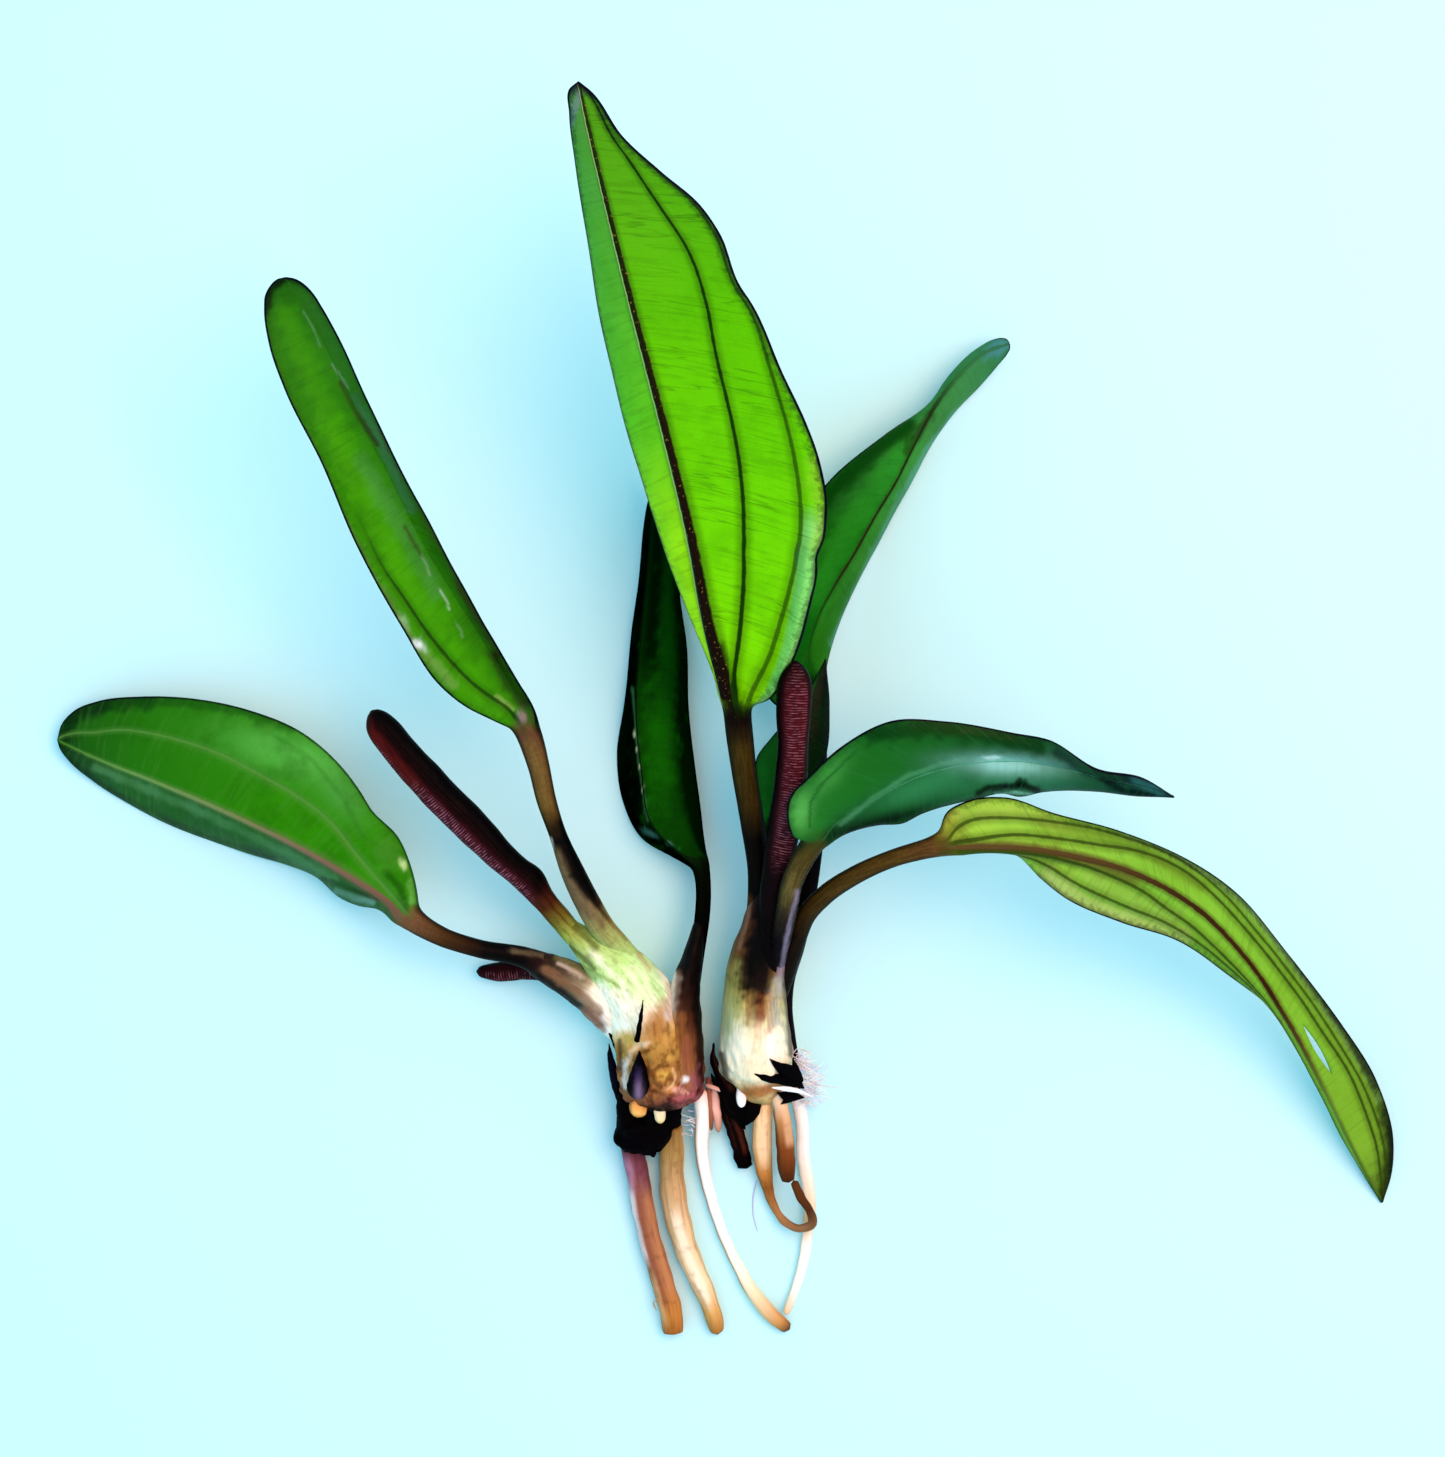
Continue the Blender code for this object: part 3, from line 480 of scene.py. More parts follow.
def leafShell(leaf):
    # Petiole: circles round a route. Blade: a point is midrib + share * (margin - midrib), plus
    # along the surface's normal a bow, the veins' relief, a ripple and half the thickness.
    petiole = np.array(leaf["petiole"])
    stemRows = round(lengthAlong(petiole[:, :3])[-1] / bladeShape["stemStep"])
    read = smoothThrough(petiole, np.linspace(0.0, 1.0, stemRows))
    centres, radius = toReal(read[:, :3]), read[:, 3]
    ahead = unit(np.gradient(centres, axis=0))
    side = unit(np.cross(ahead, (0.0, 0.0, 1.0)))
    up = np.cross(side, ahead)

    t = crowdEnds(np.linspace(0.0, 1.0, leaf["rows"] + 2)[1:-1], 0.45)
    left, midrib, right = (toReal(smoothThrough(leaf[k], t)) for k in ("left", "midrib", "right"))
    knots = {-1: bladeKnots(leaf["leftVeins"], midrib, left, t),
             1: bladeKnots(leaf["rightVeins"], midrib, right, t)}
    bands = {-1: len(leaf["leftVeins"]) + 1, 1: len(leaf["rightVeins"]) + 1}
    step = crowdEnds(np.linspace(0.0, 1.0, leaf["columns"] + 1)[:-1], 0.6)
    w = np.concatenate([k + step for k in range(-bands[-1], bands[1])] + [[float(bands[1])]])

    halfLeft = np.linalg.norm(left - midrib, axis=1)[:, None]
    halfRight = np.linalg.norm(right - midrib, axis=1)[:, None]
    u = np.zeros((len(t), len(w)))
    gap = np.zeros_like(u)
    for sign in (-1, 1):
        own = w >= 0 if sign > 0 else w < 0
        size = np.abs(w[own])
        band = np.minimum(size.astype(int), bands[sign] - 1)
        low, high = knots[sign][:, band], knots[sign][:, band + 1]
        u[:, own] = sign * (low + (high - low) * (size - band))
        gap[:, own] = (high - low) * (halfRight if sign > 0 else halfLeft)
    whole = t[:, None] + 0 * u
    reach = np.abs(u)
    wide = np.where(u > 0, halfRight, halfLeft)
    across = u[..., None]
    half = np.where(across > 0, (right - midrib)[:, None], (midrib - left)[:, None])
    surface = midrib[:, None] + half * across
    ahead3 = unit(np.gradient(midrib, axis=0))[:, None]
    normalLeft = unit(np.cross(unit((midrib - left)[:, None]), ahead3))
    normalRight = unit(np.cross(unit((right - midrib)[:, None]), ahead3))
    turn = ease(across, -bladeShape["turn"], bladeShape["turn"])
    normal = unit(normalLeft * (1 - turn) + normalRight * turn)

    nearest = np.round(w)
    distance = np.abs(w - nearest) * gap
    lateral = (nearest != 0) & (nearest < bands[1]) & (nearest > -bands[-1])
    along = lengthAlong(midrib)[:, None] + 0 * u
    bladeLength = along[-1, 0]
    bow = np.where(u > 0, leaf["bow"][1], leaf["bow"][0])
    lift = bow * np.sin(np.pi * reach) * np.sin(np.pi * whole) ** 0.6
    vein = np.exp(-((distance / bladeShape["veinHalf"]) ** 2))
    lift += lateral * leaf["veinHeight"] * vein * (1 - whole**4)
    amount, wave = leaf["ripple"]
    ripple = np.sin(2 * np.pi * along / wave + 1.3 * np.sign(u))
    lift += amount * reach**4 * ripple * np.sin(np.pi * whole)
    for bend in leaf.get("bends", ()):
        lift += bend["lift"] * softBox(whole, u, bend)
    amount, size, seed = bladeShape["uneven"]
    lift += amount * softNoise(surface, size, seed) * reach * (1 - reach**6)

    # the midrib's ridge is high and wide at the petiole's end and shows more on one face
    rib = leaf["rib"][0] * np.exp(-whole / 0.22) + leaf["rib"][1] * (1 - whole)
    ribHalf = 0.55 + 0.5 * np.exp(-whole / 0.1)
    ridge = rib * np.exp(-((reach * wide / ribHalf) ** 2))
    above, below = (1.0, 0.35) if leaf["ribAbove"] else (-0.12, 1.0)
    body = bladeShape["half"] * np.sqrt(1 - reach**6)
    ends = radius[-1] * np.sqrt(np.maximum(0.0, 1 - u**2))
    near = np.exp(-((along / bladeShape["blendLength"]) ** 2))
    top = (body + ridge * above) * (1 - near) + ends * near
    bottom = (body + ridge * below) * (1 - near) + ends * near
    bladeTop = surface + normal * (lift + top)[..., None]
    bladeBottom = surface + normal * (lift - bottom)[..., None]

    uStem = np.repeat(u[:1], stemRows, axis=0)
    thick = np.sqrt(np.maximum(0.0, 1 - uStem**2)) * radius[:, None]
    flat = centres[:, None] + side[:, None] * (uStem * radius[:, None])[..., None]
    topRows = np.concatenate([flat + up[:, None] * thick[..., None], bladeTop])
    bottomRows = np.concatenate([flat - up[:, None] * thick[..., None], bladeBottom])
    low, high = stemRows - bladeShape["blendRows"], stemRows + bladeShape["blendRows"]
    for _ in range(bladeShape["blendTimes"]):
        for rows in (topRows, bottomRows):
            rows[low:high] = (
                0.25 * rows[low - 1 : high - 1] + 0.5 * rows[low:high] + 0.25 * rows[low + 1 : high + 1]
            )

    # what the material reads: vein number, mm along and gap; then mm across, to the margin, face
    zero = 0 * uStem
    stemLength = lengthAlong(centres)
    stemAlong = (stemLength - stemLength[-1] - 0.3)[:, None] + zero
    stemShare = stemLength / stemLength[-1]
    gridValue = np.stack([
        np.concatenate([w + zero, w + 0 * u]),
        np.concatenate([stemAlong, along]),
        np.concatenate([np.repeat(gap[:1], stemRows, axis=0), gap]),
    ], axis=-1)
    placeValue = np.stack([
        np.concatenate([uStem * radius[:, None], u * wide]),
        np.concatenate([zero + 9.0, (1 - reach) * wide]),
        np.concatenate([zero + 1.0, 0 * u + 1.0]),
    ], axis=-1)
    under = placeValue * (1.0, 1.0, 0.0)
    tones = leaf["tones"]
    leftTone = rampTone(whole, tones.get("left", tones["blade"]))
    fold = ease(across, *tones.get("fold", (-0.06, 0.04)))
    tone = leftTone + (rampTone(whole, tones["blade"]) - leftTone) * fold
    for box in tones.get("boxes", ()):
        tone = mixTone(tone, box["colour"], (box["amount"] * softBox(whole, u, box))[..., None])
    stem = rampTone(stemShare[:, None] + zero, tones["petiole"])
    # the petiole's sides are painted darker: painted shade on a round stalk seen from above
    sides = ease(np.abs(uStem), 0.55, 1.0) * ease(stemShare[:, None], *tones.get("sides", (0.1, 0.4)))
    stem = stem * (1 - bladeShape["sideShade"] * sides[..., None])
    tone = stem[-1] + (tone - stem[-1]) * ease(along[..., None], 0.0, 1.2)
    topTone = paint(np.concatenate([stem, tone]), topRows, tones.get("marks", ()))
    lowerTone = mixTone(tone, tones["under"], bladeShape["underShare"])
    lowerTone = np.concatenate([topTone[:stemRows], lowerTone])

    def ring(topValue, bottomValue):
        # Once round the leaf: its top from left to right, then its underside back
        return np.concatenate([topValue, bottomValue[:, -2:0:-1]], axis=1)

    shell = closedShell(
        ring(topRows, bottomRows),
        {"leafGrid": ring(gridValue, gridValue), "leafPlace": ring(placeValue, under),
         "tone": ring(topTone, lowerTone)},
    )
    shell["points"][-1] = toReal([leaf["midrib"][-1]])[0]
    if "slit" in leaf:
        cutSlit(shell, leaf["slit"], t, w, stemRows)
    return shell, bladeLength, bands


def cutSlit(shell, slit, t, w, stemRows):
    # Opens the blade between two columns over a run of rows: their points part by
    # width * sin(pi * share of the run), the quads between them go, and walls join the two faces.
    closedEnd = 0.02  # how far apart the two ends stay, so that no wall is a line
    columns = 2 * len(w) - 2
    first, last = (stemRows + int(np.searchsorted(t, share)) for share in slit["along"])
    column = int(np.searchsorted(w, slit["vein"]))
    rows = np.arange(first, last + 1)
    points = shell["points"]
    wide = np.sin(np.pi * (rows - first) / (last - first)) * slit["width"] + closedEnd
    onTop = {c: rows * columns + c for c in (column, column + 1)}
    below = {c: rows * columns + columns - c for c in (column, column + 1)}
    for side in (onTop, below):
        a, b = side[column], side[column + 1]
        middle = (points[a] + points[b]) / 2
        way = unit(points[b] - points[a])
        points[a] = middle - way * wide[:, None] / 2
        points[b] = middle + way * wide[:, None] / 2
    gone = set()
    walls = []
    for k in range(len(rows) - 1):
        for side in (onTop, below):
            gone.add(frozenset(int(side[c][k + j]) for c in (column, column + 1) for j in (0, 1)))
        for c in (column, column + 1):
            walls.append([int(onTop[c][k]), int(onTop[c][k + 1]), int(below[c][k + 1]), int(below[c][k])])
    for k in (0, -1):
        walls.append([int(onTop[column][k]), int(onTop[column + 1][k]),
                      int(below[column + 1][k]), int(below[column][k])])
    shell["faces"] = [f for f in shell["faces"] if frozenset(f) not in gone] + walls


# What a leaf's own look changes: amounts from 0 to 1, widths and gaps in millimetres
plainLeafLook = {
    "slant": 0.25, "netGap": 1.1, "net": 0.1, "grain": 0.1, "halo": 0.25, "outerVein": 0.6,
    "veinWidth": (0.26, 0.18), "veinShare": 0.85, "ribWidth": (0.5, 0.22), "ribHalo": 0.4, "ribHighlight": 0,
    "speck": 0, "hatchWidth": 1, "hatch": 0.3, "marginWidth": 0.2, "margin": "#04040E",
    "marginShare": (1, 1), "mottle": 0.3, "rough": 0.4, "shine": 0.05, "through": 0.2, "leftNet": 1,
    "veinEnd": 2, "streak": 0.45, "speckColour": "#C0A040", "ribHighlightColour": "#C8D890",
}


# rows of a blade, and columns between two veins
plainLeaf = {"leftVeins": [], "rightVeins": [], "ribAbove": False, "rows": 260, "columns": 24}


def makeLeaf(name, leaf):
    # The shell of a leaf's dictionary, in its own flesh, in place of the plain CAD leaf
    shell, bladeLength, bands = leafShell({**plainLeaf, **leaf})
    material = leafMaterial({**plainLeafLook, **leaf["look"]}, bladeLength, bands)
    piece = makePiece(name, [shell], material, [name])
    print(name, len(piece.data.polygons), "faces")


# The tall leaf, underside up: lime flesh lit through, its brightness partly painted light,
# dark midrib, pale strip on its left.
bigLeaf = {
    "petiole": [
        (3, -26.5, 5.6, 0.7), (2.9, -24, 6.5, 1.1), (3.1, -21.5, 7.1, 1.25), (3.6, -18.5, 7.9, 1.2),
        (3.7, -14.5, 9.2, 1.15), (3, -9.5, 11.4, 1.15), (2.2, -4.5, 13.6, 1.2), (1.5, 1, 15.6, 1.35),
    ],
    "left": [(0.2, 2.6, 15.6), (-1.6, 7.2, 15.9), (-4.25, 13.5, 17), (-7.6, 23.2, 19.4),
             (-10.45, 33, 22.2), (-12.55, 42.5, 25.2), (-13.6, 49.2, 27.6), (-14.75, 56.5, 30.2),
             (-15.35, 61.5, 32), (-15.3, 64, 32.8), (-14.4, 64.75, 33)],
    "midrib": [(1.3, 2.4, 16), (-1, 9.9, 19), (-3.1, 19.9, 22.4), (-5.6, 29.9, 25.6), (-8.4, 40.4, 28.4),
               (-11.2, 51.4, 31), (-13.4, 60.4, 32.6), (-14.4, 64.75, 33)],
    "right": [
        (2.5, 2.2, 15.8), (4.75, 3.3, 15.9), (6, 5.2, 16.2), (7.4, 8.2, 17), (8.6, 12.4, 18.4),
        (9.35, 15.8, 19.7), (9.4, 17.5, 20.3), (10.1, 19, 20.9), (10.45, 21.4, 21.8), (9.6, 27.2, 23.6),
        (8.4, 30.5, 24.7), (6, 35.6, 26.3), (3, 42.4, 28), (1.7, 44.4, 28.6), (-0.25, 49.5, 29.8),
        (-2.1, 52.2, 30.4), (-6.25, 55.8, 31.3), (-9.95, 59.2, 32.1), (-13.2, 63.8, 32.9),
        (-14.4, 64.75, 33),
    ],
    "rightVeins": [
        [(1.2, 3.4), (1.1, 4.9), (1.6, 8.5), (2.1, 13.9), (2.15, 18.9), (2.1, 22.2), (1.6, 27.2),
         (0.9, 30.9), (-0.6, 37.2), (-1.7, 42.9), (-2.6, 45.9), (-3.8, 48.5), (-5.6, 51.2), (-7.4, 53.9),
         (-9.4, 56.9)],
        [(2.4, 2.8), (4.4, 6.5), (5.75, 10.5), (6.6, 13.5), (7.4, 17.2), (7.85, 20.5), (7.7, 23.5),
         (7.1, 27.5), (6.4, 30.5), (5.4, 33.9), (4.4, 37.2), (3.6, 39.9)],
    ],
    "bow": (0.35, -0.7), "veinHeight": 0.1, "ripple": (0.04, 11), "rib": (0.75, 0.3), "ribAbove": True,
    "rows": 320,
    "bends": [{"along": (0.02, 0.27), "across": (0.86, 1.2), "soft": (0.03, 0.05), "lift": 0.9}],
    "tones": {
        # the lime stands partly for light shining through the blade, and the left strip is painted lighter
        # where it turns away from the lamp: painted light
        "blade": [(0, "#86F000"), (0.3, "#70E000"), (0.6, "#60CC00"), (1, "#4E9C1A")],
        "left": [(0, "#C8FF10"), (0.25, "#BCFF18"), (0.45, "#74DC20"), (0.85, "#58B040"), (1, "#4C8C48")],
        "boxes": [
            {
                "along": (0, 0.3), "across": (0.83, 1.2), "soft": (0.02, 0.03), "colour": "#94F088",
                "amount": 0.8,
            },
        ],
        "marks": [
            ("line", [(2.6, -17), (2.5, -20), (2, -23)], 0.4, "#5A3A1C", 0.8),
            ("line", [(9.6, 18.2), (10, 21.5), (9.4, 26.5)], 0.9, "#A4D838", 0.5),
            ("spot", (1.3, 1.4), (1.2, 1.7, 0), "#160A04", 0.95),
            ("line", [(1, 1.6), (0.5, 5), (-0.2, 8)], 0.6, "#160A04", 0.8),
            ("spot", (-14.4, 64.2), (1, 0.9, 0), "#101430", 0.8),
            ("line", [(-15.3, 60), (-14.3, 63.4)], 0.4, "#7890A0", 0.6),
        ],
        "petiole": [(0, "#080404"), (0.3, "#0A0604"), (0.58, "#0C0804"), (0.64, "#2A1E08"),
                    (0.7, "#3E300C"), (0.9, "#483A10"), (0.96, "#2C200A"), (1, "#140A04")],
        "under": "#4FA020",
    },
    "look": {
        "name": "lime leaf flesh", "deep": "#46A800", "vein": "#0C3000", "net": 0.34, "netGap": 0.7,
        "grain": 0.16, "halo": 0.4, "outerVein": 0.75, "veinWidth": (0.31, 0.11), "veinShare": 0.97,
        "midrib": [(0, "#140A04"), (0.4, "#1C0E04"), (0.8, "#182404"), (1, "#1A3408")],
        "ribWidth": (0.52, 0.1), "ribHalo": 0.5, "ribHighlight": 0.8, "speck": 0.4, "through": 0.3,
        "hatchWidth": 1.2, "hatch": 0.7, "margin": "#060418", "marginWidth": 0.3, "leftNet": 0.15,
        "slant": 0.35,
    },
}
makeLeaf("big_leaf", bigLeaf)

# A trough-shaped leaf, upper face up, its margins bent towards the eye.
upperLeftLeaf = {
    "petiole": [
        (-6.3, -25.7, 4.6, 0.4), (-7.6, -24.35, 5.4, 0.7), (-9, -23.05, 6.1, 0.95),
        (-10.4, -21.7, 6.9, 1.15), (-11.9, -20.1, 7.9, 1.25), (-13.55, -17.3, 9.3, 1.25),
        (-15, -14.3, 10.6, 1.15), (-16.5, -10.5, 11.8, 0.85), (-17.6, -7.2, 12.8, 0.95),
        (-18.4, -3.7, 13.6, 1.05), (-19.3, -0.5, 14.2, 1.25),
    ],
    "left": [(-20.8, -0.2, 14.4), (-23.2, 0.9, 15), (-25.9, 2.3, 15.7), (-28.2, 4.2, 16.6),
             (-32.2, 10.3, 18.2), (-36.8, 18.7, 20), (-40.1, 26.5, 21.8), (-43.8, 33.9, 23.2),
             (-45.4, 38.6, 24), (-45.85, 42, 24.4), (-45.75, 43.3, 24.5), (-45.3, 44.2, 24.6),
             (-44.6, 44.9, 24.6), (-43.7, 45.15, 24.6)],
    "midrib": [(-19.6, 0.4, 14.3), (-21, 3.8, 15), (-24, 9, 16.4), (-27, 13.8, 17.6), (-30.2, 19.2, 18.9),
               (-33.2, 25.2, 20.3), (-36.4, 31.2, 21.7), (-39.4, 37.8, 23), (-41.9, 42.4, 24),
               (-43.7, 45.15, 24.6)],
    "right": [
        (-18.2, -0.4, 14.4), (-18.7, 1.6, 15), (-20.3, 4.4, 16.8), (-24.2, 11, 19.4), (-27.9, 17.9, 21.4),
        (-31.8, 25.2, 23), (-35.6, 33, 24.4), (-38.3, 38.9, 25.2), (-40.1, 42.2, 25.2), (-41, 43.6, 25),
        (-41.9, 44.5, 24.8), (-42.8, 45, 24.7), (-43.7, 45.15, 24.6),
    ],
    "leftVeins": [
        [(-21.4, 2), (-24.5, 4.1), (-27.3, 6.9), (-29.5, 9.6), (-31.8, 13), (-34.1, 16.4), (-35.4, 19.1),
         (-37.6, 23.6)],
    ],
    "bow": (-0.5, -0.2), "veinHeight": -0.12, "ripple": (0.03, 9), "rib": (0.7, 0.25),
    "tones": {
        "blade": [(0, "#2E5A14"), (0.5, "#34780C"), (0.8, "#3A7E24"), (1, "#2A6C1C")],
        "fold": (-0.3, 0.5), "left": [(0, "#3C9800"), (0.5, "#349000"), (0.8, "#2E8410"), (1, "#1A5C0C")],
        "marks": [
            ("line", [(-23, 2.8), (-27, 8), (-32, 15.5), (-36.5, 25), (-38.6, 30)], 1.3, "#46AC00", 0.5),
            ("line", [(-32, 15.5), (-36.5, 25), (-40.5, 34), (-43.6, 41.4)], 1.1, "#46AC00", 0.35),
            ("line", [(-38.5, 21.5), (-35, 14.8), (-31, 8.8), (-27, 4.4)], 0.55, "#78A850", 0.55),
            ("line", [(-36, 26.8), (-33.6, 22.6), (-31.4, 18.8), (-28.6, 13.6)], 0.9, "#569A50", 0.35),
            ("line", [(-36.8, 33.2), (-34.1, 28.6), (-31, 22)], 0.55, "#54845C", 0.6),
            ("line", [(-38.2, 34.6), (-36.8, 31.8), (-34.5, 28.4)], 0.28, "#3A2C18", 0.75),
            ("line", [(-31.8, 20.2), (-30.2, 17.4)], 0.2, "#3A2C18", 0.7),
            # painted highlights: thin glints along the fold, and glint spots
            ("line", [(-41.9, 41.7), (-40.9, 40), (-40.2, 38.2)], 0.1, "#7AB088", 0.3),
            ("line", [(-39, 36.4), (-38.3, 35.4), (-37.4, 34)], 0.14, "#98B8A0", 0.35),
            ("line", [(-30.1, 17.4), (-29.6, 16.4), (-29.3, 15.4)], 0.11, "#A8C8A8", 0.4),
            ("line", [(-28.3, 13.9), (-27.6, 12.9), (-27.3, 11.9)], 0.11, "#C8E8D0", 0.5),
            ("line", [(-26.7, 10.8), (-26.2, 9.9), (-26, 9.2)], 0.1, "#A0C8A0", 0.4),
            ("spot", (-30.5, 8.4), (0.8, 0.5, -15), "#E8FFFF", 0.95),
            ("spot", (-31.9, 10.6), (0.9, 0.45, -55), "#98C890", 0.7),
            ("line", [(-34.2, 30), (-30, 21.4), (-26, 14), (-22.4, 7.4)], 0.35, "#4A3024", 0.5),
            # a painted highlight: a glint near the base
            ("line", [(-22.6, 3.2), (-20.9, 1.9)], 0.25, "#C0F070", 0.6),
            ("line", [(-22.8, 7.2), (-21.2, 4.2), (-19.9, 2.6)], 0.65, "#240C08", 0.85),
            ("line", [(-26.5, 14.5), (-23.5, 9)], 0.35, "#3A2A1C", 0.6),
            ("line", [(-45.9, 41.6), (-45.2, 44), (-43.6, 45.1), (-41.6, 44.6)], 0.55, "#000604", 0.9),
            ("spot", (-20.2, 1.2), (0.5, 0.8, 20), "#B890A0", 0.7),
            ("line", [(-19.2, -1.5), (-18.2, -4.6), (-17.5, -7.6)], 0.45, "#7C6834", 0.5),
            ("line", [(-16.6, -12.6), (-15.7, -14.9), (-14.7, -16.8), (-13.5, -18.3), (-12.1, -19.8)],
             0.6, "#7C6A4A", 0.85),
            ("line", [(-17.1, -11), (-16.9, -12.8), (-16.3, -14.6)], 0.16, "#C8C0B8", 0.7),
            ("line", [(-15.9, -9.6), (-15.35, -12.1), (-14.15, -14.6), (-12.9, -16.6)],
             0.72, "#020101", 0.98),
            ("line", [(-14.5, -14.5), (-13.6, -16.1)], 0.56, "#040202", 0.97),
            ("line", [(-13.6, -16.1), (-12.6, -17.6)], 0.42, "#0A0604", 0.95),
            ("line", [(-12.6, -17.6), (-11.4, -19.1)], 0.26, "#2A1608", 0.85),
            ("line", [(-11.4, -19.1), (-9.6, -21.1)], 0.25, "#8A6430", 0.6),
            ("line", [(-12.8, -19.6), (-11.2, -21.4)], 0.5, "#A8A860", 0.6),
        ],
        "sides": (0.5, 0.7),
        "petiole": [(0, "#C8F498"), (0.15, "#C0E888"), (0.24, "#B8D078"), (0.31, "#A8A860"),
                    (0.38, "#8A7850"), (0.46, "#6A5A40"), (0.52, "#2A2018"), (0.64, "#080404"),
                    (0.7, "#3A2A10"), (0.76, "#6E5424"), (0.92, "#765A30"), (1, "#6A4A30")],
        "under": "#2E6A18",
    },
    "look": {
        "name": "green leaf flesh", "deep": "#1E6A04", "vein": "#143C04", "halo": 0.3,
        "veinWidth": (0.24, 0.05), "midrib": [(0, "#2A5A10"), (1, "#2E6A14")], "veinEnd": 0.55,
        "ribWidth": (0.06, 0.04), "ribHalo": 0, "margin": "#02020A", "mottle": 0.4, "streak": 0.25,
    },
}
makeLeaf("upper_left_leaf", upperLeftLeaf)

